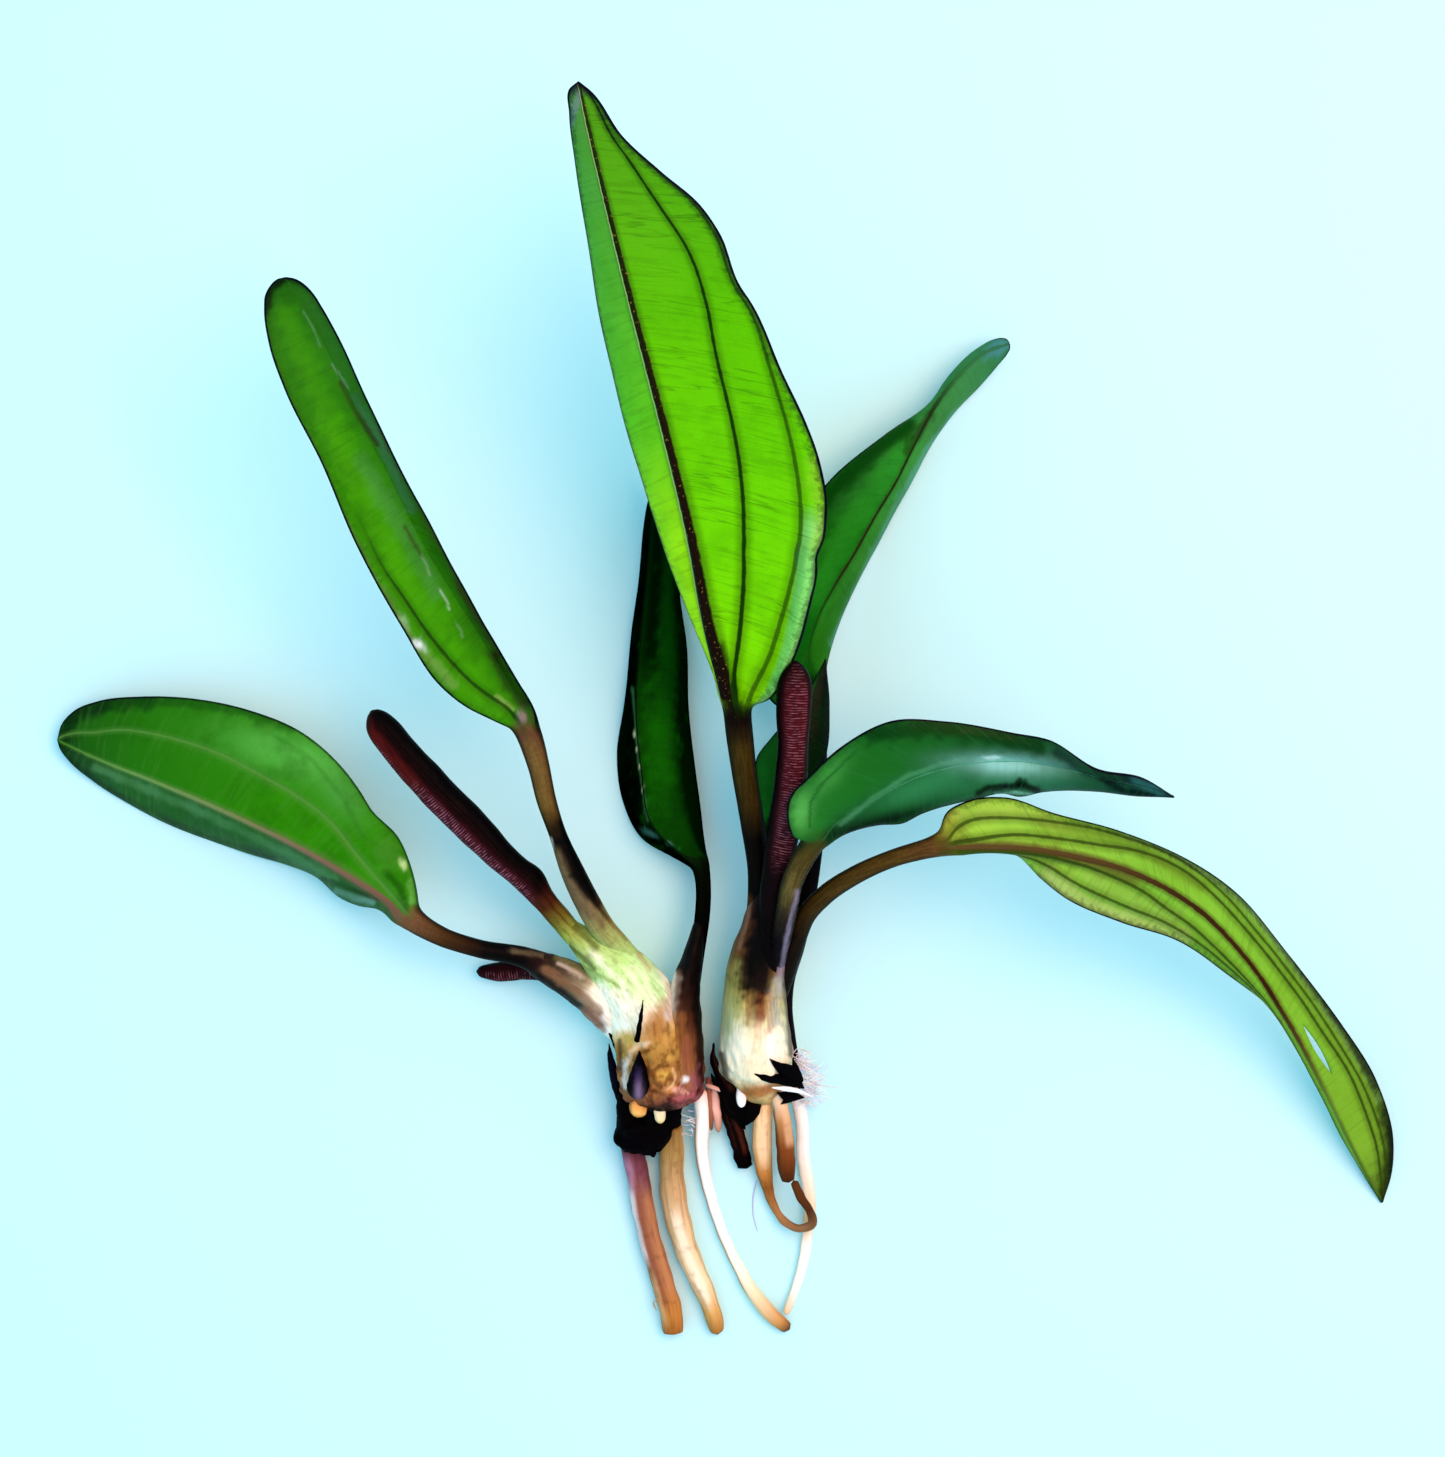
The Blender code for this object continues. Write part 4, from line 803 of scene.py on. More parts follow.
# The broad leaf that lies lowest on the left, upper face up.
lowerLeftLeaf = {
    "petiole": [
        (-9.4, -31.2, 4.4, 0.6), (-10.2, -29.4, 4.9, 1.2), (-11.6, -27.4, 5.1, 1.4),
        (-13.4, -25.8, 5.1, 1.4), (-15.6, -24.7, 5.2, 1.4), (-17.9, -23.7, 5.6, 1.3),
        (-19.8, -22.9, 6.2, 1.05), (-24.4, -22, 6.8, 0.9), (-29, -20.4, 7.2, 1), (-31, -19.2, 7.3, 1.15),
    ],
    "left": [
        (-32.3, -19.6, 7), (-34.4, -18.1, 5.6), (-36.4, -17.7, 4.4), (-38.4, -16.8, 3.2),
        (-40.6, -14.9, 2.2), (-43.2, -13.8, 1.2), (-48.2, -12.2, 0.3), (-54.6, -10, 0), (-59, -7.7, 0.1),
        (-62.8, -5.4, 0.6), (-65.4, -3.2, 1.3), (-66.3, -1.9, 1.7), (-66.5, -1.1, 1.8),
    ],
    "midrib": [
        (-31.4, -18.8, 7.4), (-34.2, -16.8, 7.8), (-38.2, -14.3, 7.8), (-42.2, -12, 7.4),
        (-47.2, -9.5, 6.6), (-52.2, -7.2, 5.6), (-57.2, -5.1, 4.4), (-62.2, -3.1, 2.8), (-66.5, -1.1, 1.8),
    ],
    "right": [
        (-30.3, -18, 7.5), (-30.6, -15.9, 7.9), (-31.2, -13.6, 8.1), (-32.4, -10.9, 8.2),
        (-35.1, -8.1, 8), (-36.2, -6.3, 7.8), (-38, -3.9, 7.5), (-42.2, -0.3, 6.8), (-47.2, 1.8, 6),
        (-52.2, 2.9, 5.2), (-58.2, 3.2, 4.2), (-62.4, 2.75, 3), (-64.8, 1.8, 2.4), (-66.1, 0.4, 2),
        (-66.5, -1.1, 1.8),
    ],
    "rightVeins": [
        [(-32.8, -16.9), (-34.3, -15.2), (-36.4, -12.7), (-38.9, -9.5), (-42.3, -6.8), (-45.6, -4.9),
         (-49.3, -2.9), (-52.7, -1.6), (-56.4, -0.6), (-59.8, -0.1), (-62.7, -0.4)],
    ],
    "bow": (0.3, 0.8), "veinHeight": -0.14, "ripple": (0.08, 12), "rib": (0.5, 0.25),
    "tones": {
        "blade": [(0, "#2F8F00"), (0.4, "#2E8C00"), (0.8, "#22740A"), (1, "#124A10")],
        "left": [(0, "#2A6030"), (0.4, "#1C5C1C"), (0.8, "#26602A"), (1, "#0C3410")],
        "marks": [
            # painted sheen: two soft lighter patches on the blade
            ("glow", (-43, -2.6), (8, 2.6, -16), "#5CC04C", 0.85),
            ("glow", (-38, -6.6), (4, 2, -50), "#50A848", 0.6),
            ("spot", (-33.6, -12.4), (1.6, 1.2, -50), "#58A838", 0.5),
            ("spot", (-66.2, -0.9), (1.9, 1.3, 50), "#000402", 1),
            ("line", [(-66.2, 0), (-64.6, 1.5), (-61.5, 2.4), (-57.5, 2.8)], 0.9, "#042408", 0.85),
            ("line", [(-58.5, 2.8), (-54, 2.6), (-48, 1.8), (-43, 0.2)], 0.6, "#0A4808", 0.6),
            ("line", [(-65.6, -3), (-62.5, -5.5), (-58, -8), (-52, -10.8), (-45, -13)],
             0.4, "#082A10", 0.7),
            ("line", [(-62.5, -4), (-57.5, -6.1), (-52.5, -8.2), (-47.5, -10.5), (-42.5, -13),
                      (-38.8, -15)], 0.45, "#5C9C60", 0.5),
            ("line", [(-45, -0.6), (-41, -3.2), (-37.8, -7.2), (-36, -10.8)], 0.22, "#2A7A20", 0.4),
            # a painted highlight near the base, painted shade in the fold beside it, and a painted glint
            # strip to its right
            ("spot", (-31.9, -13.6), (0.55, 0.3, -60), "#D0F8A0", 0.9),
            ("line", [(-33.4, -14.6), (-32.2, -16), (-31.7, -18)], 0.45, "#062A04", 0.6),
            ("line", [(-31.2, -15.3), (-31, -17.2)], 0.4, "#70C050", 0.7),
            ("line", [(-38.6, -16.2), (-36.6, -17), (-35, -17.4)], 0.35, "#80B0A0", 0.6),
            ("line", [(-40, -15), (-36.8, -16.2), (-34.2, -17.1)], 0.25, "#102A18", 0.7),
            ("line", [(-21, -22.2), (-18.4, -22.6), (-16, -23.3)], 0.3, "#7A6A50", 0.6),
        ],
        "sides": (0.3, 0.55),
        # near the crown the pale sheath is painted pure white, lighter than its own cream: painted light
        "petiole": [(0, "#FFF4D0"), (0.1, "#FFFFFF"), (0.2, "#FFFAF4"), (0.27, "#ECD4CC"),
                    (0.34, "#B89890"), (0.4, "#6A4A48"), (0.48, "#2A1616"), (0.55, "#080404"),
                    (0.7, "#0C0806"), (0.76, "#2E1A0C"), (0.86, "#4A3014"), (1, "#7A5638")],
        "under": "#3A8038",
    },
    "look": {
        "name": "broad green leaf flesh", "deep": "#1A6200", "vein": "#5C9440", "veinShare": 0.55,
        "outerVein": 0, "net": 0, "grain": 0.12, "ribWidth": (0.4, 0.12), "ribHalo": 0.3,
        "veinWidth": (0.22, 0.1),
        "midrib": [(0, "#7C5A44"), (0.3, "#886C56"), (0.55, "#7C9054"), (0.8, "#6C9C4C"), (1, "#3A7A20")],
        "hatch": 0.15, "marginShare": (0.6, 1), "mottle": 0.45, "streak": 0.2,
    },
}
makeLeaf("lower_left_leaf", lowerLeftLeaf)

# The nearly black leaf between the crowns, standing on its left edge. Much of its black is
# painted shade.
darkLeaf = {
    "petiole": [(-4, -29.5, 4.6, 1.2), (-3.3, -25.9, 5, 1), (-2.6, -22.4, 5, 0.8), (-2, -18.6, 4.7, 0.75),
                (-1.8, -15.4, 4.4, 0.75)],
    "left": [(-2.7, -13.9, 4), (-5.2, -12.7, 2.6), (-8.2, -10.8, 0.8), (-10, -7.2, 0), (-10.5, -2.6, 0),
             (-9.7, 3, 0.2), (-9, 9.8, 0.4), (-8.1, 16.8, 0.8), (-7.4, 22.8, 2), (-6.3, 26, 3.4)],
    "midrib": [(-2, -13.6, 4.6), (-4.8, -12, 4.8), (-7, -9.6, 4.8), (-8.1, -4, 4.9), (-8.6, 2, 5),
               (-8.1, 9, 5.2), (-7.4, 16, 5), (-6.9, 22, 4.2), (-6.3, 26, 3.4)],
    "right": [
        (-1.3, -13.9, 4), (-1.7, -11.8, 3.4), (-2.2, -7.7, 2.6), (-2.8, -3.4, 2.4), (-3.4, 2.7, 2.4),
        (-3.6, 8.8, 2.6), (-4.2, 13, 2.8), (-4.5, 18.8, 3), (-5.1, 23, 3.2), (-6.3, 26, 3.4),
    ],
    "bow": (0.2, 0.7), "veinHeight": 0.08, "ripple": (0.05, 10), "rib": (0.4, 0.2), "rows": 200,
    "columns": 36,
    "tones": {
        "blade": [(0, "#062A04"), (0.15, "#0A4204"), (0.4, "#0A3C04"), (0.7, "#043004"), (1, "#021C06")],
        # painted shade: the left half, standing on edge away from the light, is painted black
        "left": [(0, "#000200"), (1, "#000201")],
        # painted shade: the right edge that curls down, and the upper middle under the tall leaf, painted
        # black
        "boxes": [
            {
                "along": (-0.1, 1.1), "across": (0.62, 1.2), "soft": (0.05, 0.12), "colour": "#000300",
                "amount": 0.9,
            },
            {
                "along": (0.5, 1.1), "across": (0.02, 0.35), "soft": (0.08, 0.12), "colour": "#000400",
                "amount": 0.85,
            },
        ],
        "marks": [
            # painted light: lighter green along the crest of the arch
            ("spot", (-6.3, -1.8), (6.5, 1.4, 90), "#126404", 0.75),
            ("spot", (-5.4, 8), (7, 0.9, 90), "#064004", 0.6),
            # painted reflections and highlight: two teal glints and a pale line along the fold
            ("spot", (-7.2, -10.5), (0.8, 0.3, -30), "#509080", 0.4),
            ("spot", (-5.3, -11.5), (0.4, 0.25, -30), "#509080", 0.4),
            ("line", [(-9, 4), (-8.4, -3.4), (-7.5, -9.2)], 0.14, "#3A6A40", 0.6),
            ("spot", (-8.8, -0.6), (0.3, 0.12, 90), "#C8D8A0", 0.8),
            ("spot", (-8.6, -2.1), (0.2, 0.1, 85), "#D8D8A8", 0.8),
            ("spot", (-8.3, -3.8), (0.25, 0.1, 80), "#D8D8A8", 0.8),
            ("spot", (-8, -6.1), (0.4, 0.12, 80), "#C8D0A8", 0.8),
        ],
        "petiole": [(0, "#1A0E0C"), (0.3, "#0C0808"), (0.6, "#040304"), (1, "#060C04")],
        "under": "#06140A",
    },
    "look": {
        "name": "dark green leaf flesh", "deep": "#021A04", "vein": "#02140A", "net": 0.05,
        "midrib": [(0, "#0A1C08"), (1, "#041004")], "ribWidth": (0.1, 0.06), "ribHalo": 0, "shine": 0,
        "through": 0.02, "margin": "#000104",
    },
}
makeLeaf("dark_leaf", darkLeaf)

# The folded leaf behind the spear: a wide half painted dark as shade, a fold line, a lighter strip.
upperRightLeaf = {
    "petiole": [
        (7.2, -33.4, 3.4, 0.5), (6.5, -30.8, 3.9, 0.8), (6.1, -27.8, 4.2, 0.9), (6.3, -25, 4.5, 0.95),
        (7.2, -22, 4.8, 0.95), (8.3, -17.5, 5.3, 0.9), (9.1, -12.5, 5.7, 0.85), (9.5, -6, 5.8, 0.9),
        (9.4, 0, 5.4, 1), (9.1, 3.5, 5.2, 1.1),
    ],
    "left": [(7.9, 3.9, 5.2), (5.6, 2.2, 5.2), (4.4, 3.4, 5.6), (4.4, 6.2, 6), (5.2, 11.9, 6.4),
             (7, 18.2, 6.6), (10.1, 24.1, 6.6), (15.3, 28.7, 6.1), (18.4, 30.8, 5.3), (20.6, 31.7, 4),
             (21.2, 32.5, 3.6), (22, 34.1, 3.3), (23.4, 36, 3.1), (25.3, 37.8, 3), (27, 38.85, 3.1),
             (27.9, 39.05, 3.15), (28.4, 38.95, 3.2), (28.7, 38.5, 3.2)],
    "midrib": [(8.7, 4.8, 5.4), (8.6, 8, 5.6), (9.6, 11.4, 6.1), (11.2, 14.4, 6.3), (13, 17.3, 6.4),
               (15.3, 21.4, 6.6), (17.2, 24.5, 6.6), (19.1, 28.3, 6.4), (20.9, 31.6, 6),
               (23.8, 35.4, 5.2), (26.2, 37.5, 4.2), (28.7, 38.5, 3.2)],
    "right": [(10.1, 4.7, 4.8), (10.8, 7.8, 2.6), (13.7, 15.1, 0.8), (16, 19.4, 0.1), (18.3, 23.9, 0),
              (20.7, 28.2, 0.2), (23.4, 31.8, 0.8), (25.7, 34.2, 1.6), (27.6, 36.4, 2.4),
              (28.5, 37.5, 2.9), (28.75, 38, 3.1), (28.7, 38.5, 3.2)],
    "bow": (0.5, 0.5), "columns": 36, "veinHeight": -0.06, "ripple": (0.05, 12), "rib": (0.5, 0.2),
    "tones": {
        "blade": [(0, "#1E6C08"), (0.4, "#2C7C1C"), (0.7, "#3C8838"), (1, "#347C50")],
        # the left half painted darker: painted shade
        "left": [(0, "#0C6410"), (0.4, "#0A5408"), (0.7, "#2C7C34"), (1, "#347C50")],
        "marks": [
            # painted light and shade across the left half: lighter by the fold, dark along its upper margin
            ("line", [(9, 13), (12.2, 19), (15.4, 24), (18.2, 28.4)], 1.6, "#22901E", 0.6),
            ("line", [(6.2, 16), (10.3, 23.2), (15.3, 27.9), (18.6, 30.2)], 1.1, "#033401", 0.9),
            ("line", [(11, 8.4), (15.4, 18.1), (18.3, 23.8), (20.6, 28), (23.2, 31.4)],
             0.4, "#58A48C", 0.5),
            ("spot", (27.6, 38.1), (1.6, 0.8, 20), "#4A8CA0", 0.7),
            ("line", [(20.8, 31.4), (19.6, 29.6), (18.4, 27.6)], 0.45, "#101C04", 0.6),
        ],
        "petiole": [(0, "#140A10"), (0.3, "#0C060C"), (0.8, "#060406"), (1, "#0C1008")],
        "under": "#1E6A34",
    },
    "look": {
        "name": "blue-green leaf flesh", "deep": "#064A0A", "vein": "#0A3A0C", "net": 0.04,
        "midrib": [(0, "#105808"), (0.16, "#12480A"), (0.28, "#20240A"), (0.72, "#1A2C0C"),
                   (0.85, "#2E6A34"), (1, "#2E6A50")],
        "ribWidth": (0.22, 0.12), "ribHalo": 0.3, "through": 0.06, "hatch": 0.1, "shine": 0.02,
    },
}
makeLeaf("upper_right_leaf", upperRightLeaf)

# The small leaf behind the spear.
smallLeaf = {
    "petiole": [(4.6, -28, 4.6, 0.8), (5.5, -21, 5.8, 0.7), (5.6, -15.5, 7, 0.65), (4.9, -11.2, 7.8, 0.65)],
    "left": [(4.1, -10.2, 7.7), (3.6, -6.6, 7.6), (3.4, -2.9, 7.8), (4.8, -1, 8.2), (6.8, 1.2, 8.6),
             (9, 4.6, 8.6), (10.3, 7, 8.4)],
    "midrib": [(4.7, -10, 8), (5.6, -6.4, 8.6), (7, -2.6, 9), (8.6, 1.6, 9), (10.3, 7, 8.4)],
    "right": [(5.5, -10.4, 7.8), (7.4, -8.2, 8.2), (9.6, -4.8, 8.4), (10.6, -1.6, 8.2), (10.7, 2.4, 8),
              (10.3, 7, 8.4)],
    "bow": (0.3, 0.3), "veinHeight": -0.06, "ripple": (0.1, 7), "rib": (0.3, 0.15), "rows": 100,
    "tones": {
        "blade": [(0, "#0A3C0A"), (0.5, "#061A06"), (1, "#04100A")],
        "left": [(0, "#107018"), (0.5, "#0E5A12"), (1, "#0A3A0C")],
        "petiole": [(0, "#080406"), (1, "#060806")], "under": "#12401A",
    },
    "look": {
        "name": "small dark leaf flesh", "deep": "#06300A", "vein": "#062A10", "net": 0.05,
        "midrib": [(0, "#0A200C"), (1, "#0A200C")], "ribWidth": (0.15, 0.08), "through": 0.08,
    },
}
makeLeaf("small_leaf", smallLeaf)

# The blue-green leaf that points right, torn at its lower edge.
rightLeaf = {
    "petiole": [
        (4.9, -27, 4.2, 0.6), (5.1, -24.8, 6.4, 0.9), (5.4, -22.8, 8.6, 1), (5.8, -21, 10.4, 1.05),
        (6.4, -18.2, 12.8, 1.05), (7.1, -14.9, 14.9, 1.05), (8.2, -12.5, 15.9, 1.15),
    ],
    "left": [(8.4, -11, 16.2), (7, -10.7, 16.8), (6.5, -9.3, 17.2), (6.6, -7.2, 17.8), (8.9, -4.5, 18.8),
             (12.2, -1.6, 20), (17, 0.8, 21), (22.4, 0.7, 21.2), (29, -0.4, 20.4), (32.6, -1.1, 19.2),
             (37.4, -4, 17.4), (42, -4.9, 14.8), (45.2, -6.8, 13)],
    "midrib": [
        (9.3, -11, 16.2), (12, -8.9, 17.2), (15.8, -6.7, 18.4), (19.5, -4.8, 19.2), (24, -3.6, 19.4),
        (29, -3.2, 18.8), (34, -3.9, 17.4), (38.5, -5, 15.8), (42, -5.7, 14.4), (45.2, -6.8, 13),
    ],
    "right": [(9.9, -11.9, 15.6), (12.5, -10.5, 15.6), (15.6, -9.7, 16), (18, -9.5, 16.3),
              (19.8, -8.6, 16.6), (25.4, -7.1, 16.8), (28.2, -6.5, 16.5), (29.5, -6.8, 16.2),
              (32, -6.4, 15.8), (37.5, -6.3, 14.6), (41.8, -6.8, 13.5), (45.2, -6.8, 13)],
    "bow": (0.6, 0.5), "columns": 36, "veinHeight": -0.08, "ripple": (0.05, 10), "rib": (0.5, 0.2),
    "tones": {
        "blade": [(0, "#0E3814"), (0.25, "#165A24"), (0.6, "#2A7450"), (0.8, "#144A34"), (1, "#0A2A38")],
        "left": [(0, "#1C7020"), (0.3, "#146018"), (0.6, "#104C1C"), (0.8, "#144A30"), (1, "#0C3038")],
        "fold": (-0.35, 0.15),
        "marks": [
            ("glow", (7.9, -8.2), (2.6, 1.3, 80), "#52AC4C", 0.95),
            ("glow", (10.6, -4.9), (3.4, 1.3, 48), "#40983E", 0.7),
            # painted shade in the crease at the lobe's edge
            ("line", [(8.7, -9.8), (8.8, -7.4), (9.9, -5.6), (13.4, -2.2)], 0.16, "#0E5418", 0.75),
            # painted sheen: a teal band along the fold, with its white highlight
            ("line", [(11.8, -9.6), (15.2, -6.9), (18.4, -4.8), (22, -3.5), (24.3, -3.1)],
             0.28, "#4E9A68", 0.5),
            ("glow", (28, -3.6), (5.8, 1.2, -3), "#8CD0C8", 0.9),
            ("glow", (19.5, -6), (6, 1.4, 22), "#2E8450", 0.55),
            ("spot", (26.9, -2.9), (0.8, 0.16, 0), "#C0F0F0", 0.8),
            # painted shade: near black along the lower edge, where the lower half curls down
            ("glow", (15.6, -9.4), (8, 0.95, 15), "#000200", 1),
            ("line", [(15, -0.6), (21, 0.1), (27, -0.7), (31.6, -1.8)], 0.9, "#002C04", 0.85),
            ("line", [(33.5, -2.4), (36.5, -4.2), (40.5, -5.2)], 0.6, "#061C1C", 0.75),
            ("line", [(38, -5), (40, -6.2), (43, -6.7)], 0.4, "#000408", 0.8),
            ("line", [(25.6, -6.5), (26.6, -5.9), (28.6, -5.8), (30, -5.6), (31.6, -6.3)],
             0.38, "#000302", 1),
            ("line", [(28.9, -5.9), (29.7, -5)], 0.16, "#021008", 0.9),
            ("line", [(27.4, -6.6), (29.2, -6.4), (31, -6.6)], 0.16, "#7ACAB8", 0.85),
            ("spot", (42.8, -5.9), (1.8, 0.5, -25), "#2A6A70", 0.6),
            # a painted highlight: a lilac strip along the stalk
            ("line", [(7.5, -16.4), (6.85, -18.8), (6.25, -22), (5.9, -24.6)], 0.26, "#9890AC", 0.6),
            ("line", [(7, -14.6), (6.2, -17.4)], 0.3, "#6A6030", 0.6),
        ],
        "petiole": [(0, "#2A1C12"), (0.2, "#0A0608"), (0.5, "#0A060A"), (0.65, "#2A2218"),
                    (0.7, "#3A321C"), (0.8, "#5A5228"), (1, "#4A4018")],
        "under": "#1E6A38",
    },
    "look": {
        "name": "teal leaf flesh", "deep": "#0C4818", "vein": "#2A7A4A", "net": 0.03,
        "midrib": [(0, "#1E5A28"), (0.5, "#4A9A78"), (1, "#1C5040")], "ribWidth": (0.05, 0.04),
        "ribHalo": 0, "rough": 0.32, "through": 0.06,
    },
}
makeLeaf("right_leaf", rightLeaf)

# The yellow-green leaf that arches over, slit near its tip, underside up.
droopingLeaf = {
    "petiole": [
        (6, -27, 5.4, 0.4), (6.3, -25, 6.6, 0.8), (6.9, -22.6, 8, 0.95), (7.55, -20.6, 9, 0.95),
        (8.3, -18.8, 10.1, 0.95), (10.2, -16.7, 11.6, 0.95), (13.2, -14.7, 13.4, 0.9),
        (17, -13, 15.2, 0.85), (21.2, -11.8, 16.8, 0.95),
    ],
    "left": [
        (21.6, -10.6, 17), (22.4, -8.4, 17.3), (24.6, -7.2, 17.7), (28.4, -6.9, 18.3), (33, -8.4, 18.8),
        (39.6, -10.2, 18.7), (46.2, -12.9, 17.2), (51.6, -16.6, 15), (56.6, -22.6, 11.6),
        (61.8, -29.4, 8.2), (65.5, -35.4, 5), (67.1, -41.4, 2.2), (66.9, -44.6, 1.1), (66, -47.4, 0.2),
    ],
    "midrib": [
        (22.6, -11.6, 17.2), (27.8, -11.6, 18.6), (34, -12.5, 19.6), (41, -14.4, 19.2), (47, -17.7, 17.4),
        (52.2, -22.8, 14.2), (56.5, -29, 10.4), (60.1, -35.7, 6.4), (63.6, -42.9, 2.6), (66, -47.4, 0.2),
    ],
    "right": [(23.4, -12.5, 16.8), (29.2, -12.5, 17.6), (31.8, -15, 17.6), (34.2, -16.9, 17.5),
              (39.8, -19.4, 17.1), (45, -21, 15.9), (50.2, -24.4, 13), (55.2, -28.4, 9.4),
              (59.1, -34.9, 5.4), (62.8, -42.1, 1.4), (66, -47.4, 0.2)],
    "leftVeins": [
        [(23.2, -11.3), (26.5, -10.9), (29.3, -10.65), (32.2, -10.9), (35, -11.3), (37.9, -11.8),
         (40.8, -12.2), (43.4, -13), (46.1, -14.4), (48.4, -16.3), (51.4, -19.4), (54.5, -23.1),
         (57.2, -26.5), (59.9, -30.4), (62.2, -33.8), (64.1, -38.1), (65.3, -41.9), (65.75, -45)],
        [(22.7, -11.2), (23.6, -9.9), (25, -9.15), (27, -8.95), (29.3, -9), (32.2, -9.3), (34.5, -9.6),
         (36.8, -10), (39, -10.6), (41.5, -11.4), (45.5, -13.1), (49.4, -16.1), (53.3, -20.5),
         (56, -23.8), (58.2, -26.6)],
    ],
    "rightVeins": [
        [(33.6, -12.7), (34.5, -13), (36.8, -13.7), (38.5, -14.4), (40.8, -15.4), (42.5, -16.4),
         (44.5, -17.9), (46.1, -18.9), (48.8, -21.2), (51.4, -23.7), (54.1, -26.4)],
        [(31, -12.7), (33, -13.7), (34.5, -14.7), (36.8, -16), (39, -17), (41.3, -18), (43.7, -18.9),
         (46.1, -20.2), (48.4, -21.8)],
    ],
    "bow": (0.3, 0.3), "veinHeight": 0.12, "ripple": (0.06, 11), "rib": (0.4, 0.3), "ribAbove": True,
    "rows": 320, "columns": 12, "slit": {"along": (0.67, 0.765), "vein": -0.55, "width": 0.55},
    "tones": {
        "blade": [(0, "#ACDE48"), (0.3, "#84CA3C"), (0.6, "#80C030"), (0.9, "#80B42C"), (1, "#5A7A20")],
        "boxes": [
            {
                "along": (0.3, 0.9), "across": (-1.1, -0.8), "soft": (0.1, 0.06), "colour": "#5E7A50",
                "amount": 0.7,
            },
        ],
        "marks": [
            ("spot", (22.4, -9.8), (1.4, 2.2, 0), "#A08030", 0.6),
            ("line", [(22.4, -12), (26, -12), (31, -12.3), (36, -13.2), (41, -14.9)],
             0.85, "#665426", 0.75),
            ("line", [(57.6, -23.4), (62.2, -30), (65.4, -36)], 0.5, "#141808", 0.8),
            ("line", [(66.4, -38), (67.1, -42), (66.7, -45), (66, -47.3)], 1, "#060402", 0.95),
            ("line", [(31.5, -14.6), (36, -18), (44.8, -21), (50.2, -24.4), (55.8, -29.4)],
             0.22, "#7A4A30", 0.6),
            ("line", [(32.5, -14.6), (36, -17.4), (41, -19.4), (46, -21)], 0.9, "#BCCC70", 0.7),
            ("line", [(36.5, -14.9), (41, -17), (45, -19)], 0.9, "#98C050", 0.5),
            ("line", [(32, -9.5), (38, -10.9), (42, -12.2), (48, -15.8)], 0.6, "#5C6C18", 0.5),
            ("line", [(24, -8.6), (29, -8.2), (33.5, -9.6)], 0.8, "#A8C850", 0.5),
        ],
        "petiole": [(0, "#14100A"), (0.3, "#1C140A"), (0.5, "#4A3A14"), (0.85, "#5A4418"), (1, "#6A4A24")],
        "under": "#6A9A30",
    },
    "look": {
        "name": "yellow-green leaf flesh", "deep": "#6A9A14", "vein": "#2E4206", "net": 0.15,
        "grain": 0.15, "halo": 0.4, "outerVein": 0.95, "veinWidth": (0.22, 0.15),
        "midrib": [(0, "#624C26"), (0.22, "#4E3C1C"), (0.36, "#3A220C"), (0.58, "#3A1A06"),
                   (0.68, "#54401A"), (0.8, "#64822A"), (1, "#4A6A1C")],
        "ribWidth": (0.26, 0.08), "ribHalo": 0.6, "margin": "#060408", "hatch": 0.6, "hatchWidth": 1.1,
    },
}
makeLeaf("drooping_leaf", droopingLeaf)
print("leaves made")


def softStrip(turn, share, strip):
    # 1 inside a strip of a tube: turns round it (a quarter turn is to the right of the top) within
    # half of the middle, and shares along it from start to end, with soft edges
    middle, half, start, end = strip[:4]
    soft = 0.05
    away = np.abs((turn - middle + 0.5) % 1.0 - 0.5)
    started = ease(share, start - soft, start + soft)
    ended = ease(share, end - soft, end + soft)
    return (1 - ease(away, 0.5 * half, 1.3 * half)) * started * (1 - ended)


brownShare = (0.6, 0.72, 0.8)  # what brown mottling takes of red, green and blue


